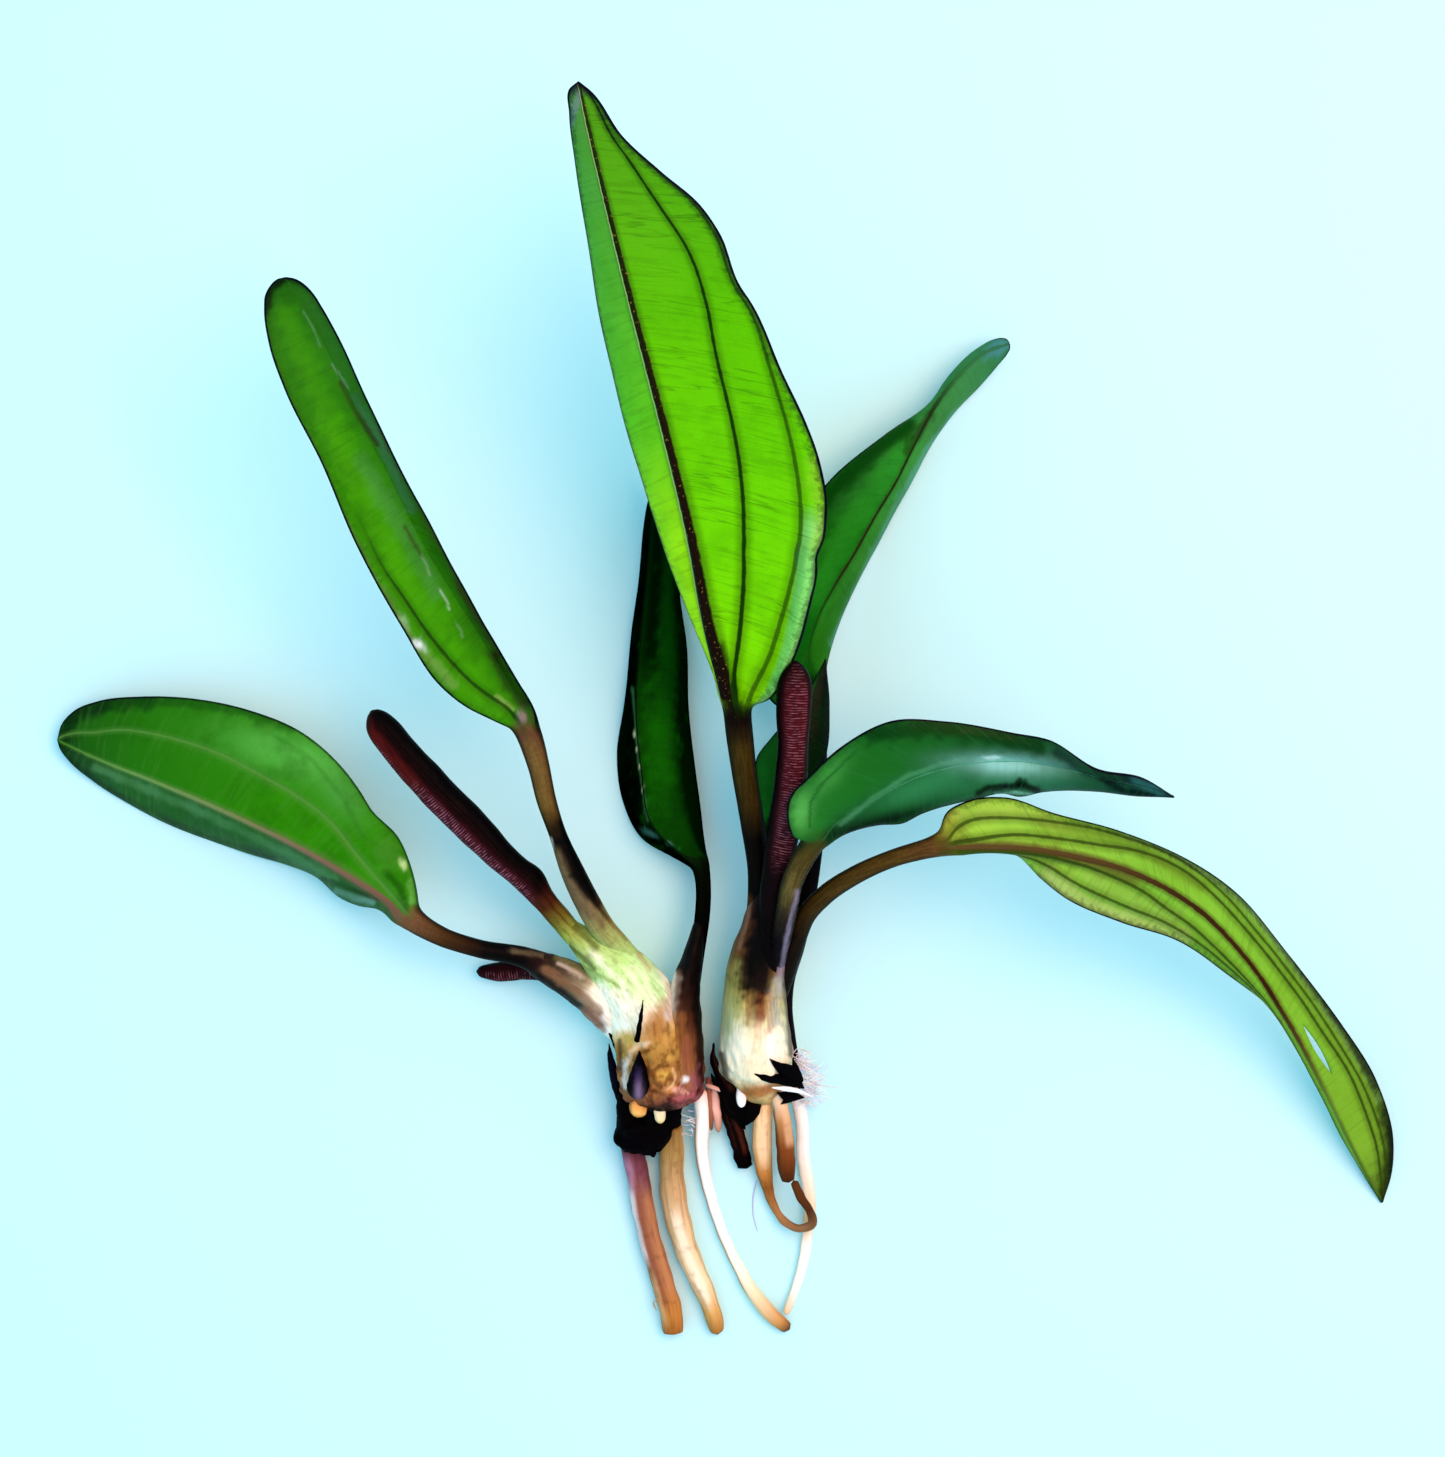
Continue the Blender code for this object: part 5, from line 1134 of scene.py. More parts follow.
def tubeShell(tube):
    # A ring is centre + side * width * sin a + up * (height * cos a - curl * width * sin^2 a).
    # Width and height come from the route (one radius makes it round), rounded off at the ends,
    # then ridges, lumps and the step where a rolled leaf overlaps itself move each point along its
    # own radius. Brown mottling takes a share of the painted tone away where two noises add up.
    route = np.array(tube["route"], float)
    if route.shape[1] == 4:
        route = np.concatenate([route, route[:, 3:]], axis=1)
    rows = max(8, round(lengthAlong(route[:, :3])[-1] / tube.get("step", 0.25)))
    share = np.linspace(0.0, 1.0, rows)
    read = smoothThrough(route, share)
    centres = toReal(read[:, :3])
    along = lengthAlong(centres)
    ahead = unit(np.gradient(centres, axis=0))
    side = unit(np.cross(ahead, (0.0, 0.0, 1.0)))
    up = np.cross(side, ahead)
    columns = tube.get("columns", 32)
    overlap = tube.get("overlap", 0.0)
    s = np.linspace(0.0005, 0.9995, columns) if overlap else np.arange(columns) / columns
    turn = (tube.get("seam", 0.0) + s)[None, :] + 0 * share[:, None]
    across, upright = np.sin(2 * np.pi * turn), np.cos(2 * np.pi * turn)
    startCap, endCap = tube.get("caps", (0.5, 0.5))
    cap = np.minimum(along / startCap, 1.0), np.minimum((along[-1] - along) / endCap, 1.0)
    cap = np.sqrt(1 - (1 - cap[0]) ** 2 * 0.98) * np.sqrt(1 - (1 - cap[1]) ** 2 * 0.98)
    ragged, raggedSize = tube.get("ragged", (0.0, 1.0))
    wobble = softNoise(np.stack([along, 0 * along], axis=1), raggedSize, 3)
    width = (read[:, 3] * cap * (1 + ragged * wobble))[:, None]
    height = (read[:, 4] * cap)[:, None]
    count, depth, twist = tube.get("ridges", (0, 0.0, 0.0))
    scale = 1 + overlap * (s - 0.5)[None, :] * ease(share, 0.0, 0.15)[:, None]
    scale = scale + depth * np.cos(2 * np.pi * (count * turn + twist * share[:, None]))
    level = (across * width * scale)[..., None] * side[:, None]
    rise = upright * height * scale - tube.get("curl", 0.0) * width * across**2
    rings = centres[:, None] + level + rise[..., None] * up[:, None]
    outward = unit(across[..., None] * side[:, None] + upright[..., None] * up[:, None])
    for amount, size, seed, last in tube.get("lumps", [(0.04, 1.5, 1, 1.1)]):
        lump = softNoise(rings, size, seed) * (cap * (1 - ease(share, last - 0.1, last + 0.1)))[:, None]
        rings = rings + outward * (amount * lump)[..., None]
    for x, y, radius, wide, high in tube.get("bumps", ()):
        # a ring or a knob on the upper side, about a point of the plan
        plan = toPlan(rings)
        d = np.hypot(plan[..., 0] - x, plan[..., 1] - y)
        high = high * np.exp(-(((d - radius) / wide) ** 2)) * ease(upright, 0.0, 0.4)
        rings = rings + outward * high[..., None]

    whole = share[:, None] + 0 * turn
    tone = rampTone(whole, tube["tones"])
    for strip in tube.get("strips", ()):
        tone = mixTone(tone, strip[4], (strip[5] * softStrip(turn, whole, strip))[..., None])
    tone = paint(tone, rings, tube.get("marks", ()), ease(upright, -0.3, 0.2))
    amount, size, last = tube.get("mottle", (0.0, 1.0, 1.1))
    patchy = softNoise(rings, size, 51) + 0.6 * softNoise(rings, 0.4 * size, 52)
    patchy = amount * ease(patchy, -0.1, 0.9) * (1 - ease(whole, last - 0.1, last + 0.1))
    tone = tone * (1 - patchy[..., None] * brownShare)
    ringed = 0 * turn
    for strip in tube.get("rings", ()):
        ringed = np.maximum(ringed, strip[4] * softStrip(turn, whole, strip))
    fibres = np.interp(whole, *zip(*tube.get("fibres", [(0.0, 1.0), (1.0, 1.0)])))
    middle = (read[:, 3] + read[:, 4])[:, None] / 2
    wrap = np.stack([across * middle, upright * middle, along[:, None] + 0 * turn], axis=-1)
    finish = np.stack([ringed, fibres, 0 * turn], axis=-1)
    return closedShell(rings, {"tone": tone, "wrap": wrap, "finish": finish})


# What a root's or crown's own look changes: fibre width and ring gap are millimetres
plainTissueLook = {
    "fibre": 0.45, "fibreStretch": 0.14, "fibreDark": 0.4, "fibrePale": 0.2, "blotch": 0.2,
    "deep": "#2A160A", "ring": "#8E5560", "ringGap": 0.4, "ringBend": 0.25, "ringBump": 0, "bump": 0.5,
    "rough": 0.5, "shine": 0.06,
}


def makeTubes(name, tubes, look, nodes=None):
    # One piece of one or more tubes, in place of the CAD node of its name unless nodes says so
    shells = [tubeShell(tube) for tube in tubes]
    material = tissueMaterial({**plainTissueLook, **look})
    makePiece(name, shells, material, [name] if nodes is None else nodes)


# Leaves still rolled up: maroon, painted nearly black as shade away from the light, fine pink rings on the
# face.
redLeafLook = {
    "name": "maroon rolled leaf skin", "fibre": 0.35, "fibreDark": 0.5, "fibrePale": 0, "deep": "#0A0204",
    "ring": "#A86A7A", "ringGap": 0.26, "ringBump": 0.4, "rough": 0.42, "shine": 0.04,
}
youngRedLeaf = {
    "route": [
        (-12.9, -22.4, 6.7, 1.2, 1.1), (-14.8, -20.6, 7.1, 1.1, 1), (-16.4, -18.7, 7.6, 1.1, 1),
        (-18, -16.8, 8.1, 1.2, 1.1), (-19.1, -15.3, 8.5, 1.5, 1.25), (-20.4, -14.2, 8.8, 1.4, 1.25),
        (-21.8, -13, 9.2, 1.45, 1.3), (-24.9, -9.8, 10.1, 1.75, 1.4), (-28.3, -6.4, 10.9, 1.75, 1.4),
        (-31.9, -2.4, 11.9, 1.65, 1.3), (-34, 0.2, 12.4, 1.5, 1.2), (-35.1, 1.8, 12.7, 0.9, 0.8),
    ],
    "columns": 72, "overlap": 0.22, "seam": 0.03, "caps": (0.3, 1.3), "lumps": [(0.05, 3, 2, 1.1)],
    "tones": [(0, "#B8D078"), (0.09, "#98A848"), (0.15, "#6A6020"), (0.2, "#4A2410"), (0.28, "#300A0A"),
              (0.9, "#2C0406"), (1, "#140204")],
    # painted shade: black strips down the sides away from the light
    "strips": [(0.21, 0.28, 0.24, 1.1, "#010001", 0.98), (-0.14, 0.1, 0.72, 0.97, "#5A1410", 0.6),
               (-0.14, 0.1, 0.25, 0.72, "#40101C", 0.7), (-0.36, 0.12, 0.3, 1.1, "#020001", 0.9)],
    "rings": [(-0.14, 0.08, 0.26, 0.74, 0.62), (-0.2, 0.06, 0.8, 0.9, 0.6)],
}
makeTubes("young_red_leaf", [youngRedLeaf], redLeafLook)
tinyRedLeaf = {
    "route": [(-15.6, -24.9, 2.3, 0.8, 0.7), (-19.2, -24.2, 2.2, 0.9, 0.8),
              (-22.6, -24.3, 1.8, 0.95, 0.8), (-24.6, -24.3, 1.5, 0.5, 0.45)],
    "columns": 48, "overlap": 0.15, "seam": 0.05, "caps": (0.3, 0.7),
    "tones": [(0, "#1C0408"), (0.7, "#2C0408"), (1, "#180204")],
    # painted shade: a black strip down one side
    "strips": [(0.25, 0.15, 0, 1.1, "#040102", 0.9)], "rings": [(-0.1, 0.1, 0.2, 0.9, 0.35)],
}
makeTubes("tiny_red_leaf", [tinyRedLeaf], redLeafLook)
spearLeaf = {
    "route": [
        (4, -28, 6.2, 1.2, 1.2), (4.4, -24.6, 7.7, 1.3, 1.25), (4.9, -20, 9.6, 1.35, 1.3),
        (5.4, -15.2, 11.6, 1.45, 1.3), (6.2, -10.2, 13.4, 1.55, 1.35), (7, -4.2, 15.4, 1.6, 1.4),
        (7.15, -1.3, 16.2, 1.5, 1.35), (7.2, 2, 17, 1.72, 1.4), (7.3, 5, 17.8, 1.5, 1.2),
        (7.3, 6.8, 18.2, 0.7, 0.6),
    ],
    "columns": 72, "overlap": 0.2, "seam": 0.11, "caps": (0.3, 1.2), "lumps": [(0.04, 3, 4, 1.1)],
    # black at the base: the spear's own dark base, darkened further as painted shade between the stalks
    "tones": [(0, "#060204"), (0.25, "#060204"), (0.4, "#140408"), (0.55, "#3C0E18"), (0.9, "#40080E"),
              (1, "#0C0204")],
    # painted shade: black strips down both sides
    "strips": [(-0.22, 0.13, 0.3, 1.1, "#020001", 0.97), (0.24, 0.09, 0.3, 1.1, "#040001", 0.95)],
    "rings": [(0.02, 0.1, 0.44, 0.97, 0.42)],
}
makeTubes("spear_leaf", [spearLeaf], redLeafLook)
print("rolled leaves made")

# Roots: a fleshy white or tan skin, streaked lengthwise, browner and corky towards old ends.
rootLook = {
    "name": "fleshy root skin", "fibreStretch": 0.08, "fibre": 0.5, "deep": "#7A4418", "fibreDark": 0.3,
    "fibrePale": 0.15, "blotch": 0.3, "rough": 0.42,
}
purpleRoot = {
    "route": [(-9.3, -40.6, 2.6, 1.1, 1.1), (-9, -42.2, 2.1, 1.2, 1.15), (-8.4, -45, 1.5, 1.2, 1.15),
              (-7.8, -48.6, 1.15, 1.2, 1.1), (-7, -52, 1.1, 1.2, 1.1), (-5.9, -55.6, 1.1, 1.2, 1.1),
              (-5.1, -58.8, 1.1, 1.2, 1.1), (-4.9, -60.6, 1, 1, 0.95)],
    "columns": 48, "caps": (0.3, 0.35), "lumps": [(0.06, 2, 6, 1.1)], "ridges": (2, 0.07, 0.1),
    "tones": [(0, "#3A141C"), (0.08, "#5A2A34"), (0.2, "#7A4450"), (0.32, "#946048"), (0.7, "#A46C44"),
              (0.9, "#BC7C38"), (1, "#9A5C24")],
    "strips": [(0.15, 0.07, 0.25, 0.62, "#F8E4E4", 0.85), (0.14, 0.12, 0.1, 0.28, "#C088A0", 0.6),
               (0.03, 0.035, 0.2, 0.85, "#8A4A38", 0.7), (-0.14, 0.1, 0.3, 0.8, "#C08458", 0.6),
               (0.12, 0.06, 0.7, 0.95, "#E0B080", 0.5)],
}
rootFibre = {
    "route": [(-6.6, -58.2, 1.6, 0.06), (-6.9, -57.4, 2, 0.06), (-6.4, -57, 2.3, 0.04)], "columns": 8,
    "caps": (0.05, 0.05), "tones": [(0, "#C8905A"), (1, "#C8905A")], "lumps": [],
}
makeTubes("purple_root", [purpleRoot, rootFibre], rootLook)
tanRoot = {
    "route": [(-5.2, -39.6, 2.6, 1.1, 1.1), (-5.1, -41.6, 2.1, 1.2, 1.15), (-5.1, -44.8, 1.5, 1.25, 1.2),
              (-4.6, -48.4, 1.2, 1.3, 1.2), (-3.4, -52.6, 1.1, 1.15, 1.1), (-2, -55.8, 1, 1, 1),
              (-0.9, -58.8, 0.85, 0.85, 0.85), (-0.5, -60.6, 0.8, 0.7, 0.7)],
    "columns": 40, "caps": (0.3, 0.6), "lumps": [(0.07, 2.5, 7, 1.1)],
    "tones": [(0, "#8A6A38"), (0.12, "#A08048"), (0.3, "#C8A070"), (0.5, "#E4C494"), (0.75, "#F4DCB0"),
              (0.88, "#D8A860"), (1, "#9A5E1C")],
    # the pale strip along the top is a painted highlight
    "strips": [(0.24, 0.08, 0, 0.9, "#C08C48", 0.6), (-0.24, 0.08, 0, 0.9, "#C8944C", 0.6),
               (0, 0.07, 0.4, 0.85, "#FFF8E4", 0.5)],
}
makeTubes("tan_root", [tanRoot], rootLook)
longWhiteRoot = {
    "route": [(-2.2, -36, 3.4, 0.75, 0.75), (-2, -38.5, 2.6, 0.78, 0.75), (-2.1, -42, 1.5, 0.7, 0.7),
              (-1.3, -46.4, 0.8, 0.6, 0.65), (0.1, -50.6, 0.7, 0.55, 0.6), (1.7, -54, 0.7, 0.6, 0.65),
              (3.2, -56.6, 0.75, 0.7, 0.7), (5, -58.7, 0.75, 0.75, 0.75), (6.7, -60.1, 0.75, 0.6, 0.6)],
    "caps": (0.3, 0.5), "lumps": [(0.04, 2, 8, 1.1)],
    "tones": [(0, "#F4D8C8"), (0.06, "#FFFCF4"), (0.5, "#FFFFFF"), (0.7, "#FFF6E2"), (0.82, "#F4DCB0"),
              (0.95, "#C89050"), (1, "#3A1C10")],
    "strips": [(0.18, 0.055, 0.1, 0.8, "#B07C38", 0.9), (-0.24, 0.05, 0, 0.25, "#D0A870", 0.6)],
}
whiteRootLook = {
    **rootLook, "name": "white root skin", "deep": "#E0B888", "fibreDark": 0.12, "blotch": 0.12,
}
makeTubes("long_white_root", [longWhiteRoot], whiteRootLook)
hookedRoot = {
    "route": [(4, -35.8, 3.4, 0.95), (4, -39, 2.5, 1), (4, -42.4, 1.6, 0.95), (4.3, -44.8, 1.1, 0.75),
              (4.9, -47.2, 0.9, 0.45), (6.1, -49.2, 1.3, 0.4), (7.7, -50, 2.1, 0.4),
              (9, -49.5, 2.7, 0.45), (8.7, -48.2, 2.9, 0.42), (7.9, -47, 3, 0.45), (7.1, -45.2, 3.3, 0.4)],
    "caps": (0.3, 0.3), "lumps": [(0.05, 1.6, 9, 1.1)],
    "tones": [(0, "#B87838"), (0.08, "#FFD090"), (0.25, "#FFD098"), (0.38, "#C88440"), (0.46, "#8A5420"),
              (0.6, "#A87848"), (0.75, "#8A6444"), (0.85, "#4A2810"), (1, "#5A3010")],
    "strips": [(-0.02, 0.1, 0.05, 0.35, "#FFE0B4", 0.6), (0.24, 0.08, 0, 0.4, "#A05A20", 0.6),
               (-0.25, 0.08, 0, 0.4, "#B86A28", 0.6)],
}
makeTubes("hooked_root", [hookedRoot], rootLook)
shortBrownRoot = {
    "route": [(5.5, -35.8, 4.6, 0.7, 0.7), (5.9, -38.4, 4.3, 0.8, 0.8), (6.3, -41.8, 4, 0.9, 0.85),
              (6.4, -44, 3.8, 0.85, 0.8), (6.6, -45.4, 3.6, 0.6, 0.6)],
    "caps": (0.3, 0.3), "lumps": [(0.05, 1.6, 10, 1.1)],
    "tones": [(0, "#FFF0E0"), (0.15, "#F0CCA8"), (0.35, "#B8804C"), (0.6, "#80441A"), (0.85, "#5A2C0C"),
              (1, "#3A1A08")],
    "strips": [(-0.1, 0.1, 0.1, 0.6, "#F0C498", 0.5), (0.24, 0.1, 0.2, 1.1, "#4A2008", 0.7)],
}
makeTubes("short_brown_root", [shortBrownRoot], rootLook)
creamRoot = {
    "route": [
        (6.4, -34.8, 3.2, 0.6), (7.6, -37.6, 2.4, 0.65), (8.1, -43, 1, 0.65), (8.7, -47.4, 0.65, 0.6),
        (8.5, -50.6, 0.65, 0.55), (8, -53.6, 0.65, 0.5), (7.2, -56.2, 0.7, 0.45), (6.3, -58.6, 1.3, 0.35),
    ],
    "caps": (0.3, 0.4), "lumps": [(0.04, 1.8, 11, 1.1)],
    "tones": [(0, "#F8ECE8"), (0.3, "#FFF8F0"), (0.5, "#FBE4C8"), (0.6, "#F0C898"), (0.7, "#FFF8EC"),
              (0.9, "#FFF4E4"), (1, "#E8C090")],
    "strips": [(0.25, 0.07, 0.1, 1, "#D8A060", 0.7), (-0.25, 0.05, 0.4, 1, "#E0B078", 0.5)],
}
makeTubes("cream_root", [creamRoot], whiteRootLook)
deadLook = {
    "name": "dead black tissue", "deep": "#010001", "fibre": 0.3, "rough": 0.6, "shine": 0.02,
    "fibreDark": 0.6,
}
deadRoot = {
    "route": [(0.3, -36.4, 2.8, 0.9, 0.8), (0.9, -38.6, 2.1, 0.9, 0.85), (1.75, -41.5, 1.1, 0.8, 0.8),
              (2.4, -44, 0.8, 0.75, 0.7)],
    "caps": (0.3, 0.15), "lumps": [(0.1, 1.2, 12, 1.1)], "ridges": (3, 0.12, 0.3), "ragged": (0.08, 1.2),
    "tones": [(0, "#1C0A06"), (0.4, "#140606"), (1, "#020101")],
    "strips": [(-0.05, 0.05, 0, 0.8, "#4A2014", 0.7), (0.12, 0.03, 0.1, 0.7, "#3A1810", 0.6)],
}
# the black skin that hangs under the right crown, torn into points
blackShape = {
    "step": 0.12, "columns": 30, "caps": (0.1, 0.1), "lumps": [(0.06, 0.9, 34, 1.1)],
    "ragged": (0.08, 0.9), "tones": [(0, "#080204"), (1, "#020101")],
}
blackParts = [
    {"route": [(-0.2, -36.2, 3.2, 0.5, 0.5), (1.2, -37.8, 2.8, 1.2, 0.9), (3.2, -37.8, 2.9, 0.8, 0.7)]},
    {
        "route": [
            (-0.9, -31.4, 3.2, 0.05, 0.05), (-0.9, -33, 3.6, 0.32, 0.25), (-0.3, -34.6, 4.2, 0.5, 0.3),
            (0.7, -36.2, 4.6, 0.85, 0.4), (1.3, -37.6, 4.2, 0.9, 0.5), (1.8, -39.2, 3.2, 0.2, 0.2),
        ],
        "strips": [(-0.06, 0.06, 0.1, 0.6, "#3A1C14", 0.7)],
    },
    {
        "route": [(0.6, -35, 4.8, 0.05, 0.05), (0.9, -36.6, 4.4, 0.6, 0.3), (1.5, -38.4, 3.6, 0.7, 0.4),
                  (2.3, -40.2, 2.6, 0.05, 0.05)],
    },
    {
        "route": [(3.9, -36, 4.6, 0.05, 0.05), (3.3, -37.3, 4.2, 0.6, 0.3), (2.7, -38.7, 3.4, 0.7, 0.4),
                  (2.3, -39.7, 2.8, 0.1, 0.1)],
    },
    {"route": [(-1.2, -34.4, 4, 0.04, 0.04), (-0.6, -35.6, 4, 0.3, 0.2), (0.2, -36.8, 3.8, 0.5, 0.3)]},
]
blackSkin = [{**blackShape, **part} for part in blackParts]
makeTubes("dead_root", [deadRoot, *blackSkin], deadLook)
pinkRootlets = [
    {
        "route": [(-0.8, -35.4, 3.9, 0.35), (-0.7, -37.4, 3.2, 0.45), (-0.5, -39.2, 2.5, 0.4),
                  (-0.4, -40.4, 2, 0.25)],
        "columns": 20, "lumps": [(0.05, 1, 13, 1.1)],
        "tones": [(0, "#C08878"), (0.5, "#F0B8A8"), (1, "#B07858")],
    },
    {
        "route": [(-1.5, -34.8, 4.1, 0.25), (-1.3, -36.4, 3.6, 0.3), (-1.2, -38.2, 3, 0.3),
                  (-1.1, -40.2, 2.2, 0.2)],
        "columns": 20, "lumps": [(0.05, 1, 14, 1.1)],
        "tones": [(0, "#6A3428"), (0.5, "#A86850"), (1, "#7A4828")],
    },
    {
        "route": [(-1.8, -35.6, 4.3, 0.2), (-0.9, -35.9, 4.5, 0.22), (0.1, -36.3, 4.4, 0.15)],
        "columns": 16, "lumps": [], "tones": [(0, "#C89080"), (1, "#E8B8A8")],
    },
]
makeTubes("pink_rootlet", pinkRootlets, whiteRootLook)
buds = {
    "orange_bud": {
        "route": [(-8.2, -36.6, 5, 0.7, 0.7), (-8.4, -38, 5.6, 0.9, 0.85), (-8.5, -38.9, 5.6, 0.65, 0.65)],
        "tones": [(0, "#6A3810"), (0.5, "#E8A050"), (0.8, "#F0B868"), (1, "#B87028")],
        "strips": [(0.24, 0.1, 0, 1.1, "#8A4A14", 0.7), (-0.25, 0.08, 0, 1.1, "#9A5A1C", 0.6)],
    },
    "cream_bud": {
        "route": [(-6.4, -36.6, 5.6, 0.5, 0.5), (-6.3, -38.2, 5.4, 0.6, 0.55),
                  (-6.2, -39.5, 5.2, 0.45, 0.45)],
        "tones": [(0, "#A07850"), (0.5, "#F4E4C0"), (0.85, "#F0DCA8"), (1, "#C8A060")],
    },
    "white_bud": {
        "route": [(1.9, -35.6, 4.8, 0.45), (1.9, -37, 5.2, 0.5), (1.9, -37.9, 5.2, 0.38)],
        "tones": [(0, "#E8D8D0"), (0.4, "#FFFFFF"), (1, "#FFF8F8")],
    },
}
for budName, bud in buds.items():
    budTube = {"step": 0.12, "columns": 28, "caps": (0.4, 0.5), "lumps": [(0.05, 1.0, 15, 1.1)], **bud}
    makeTubes(budName, [budTube], rootLook)
print("roots made")

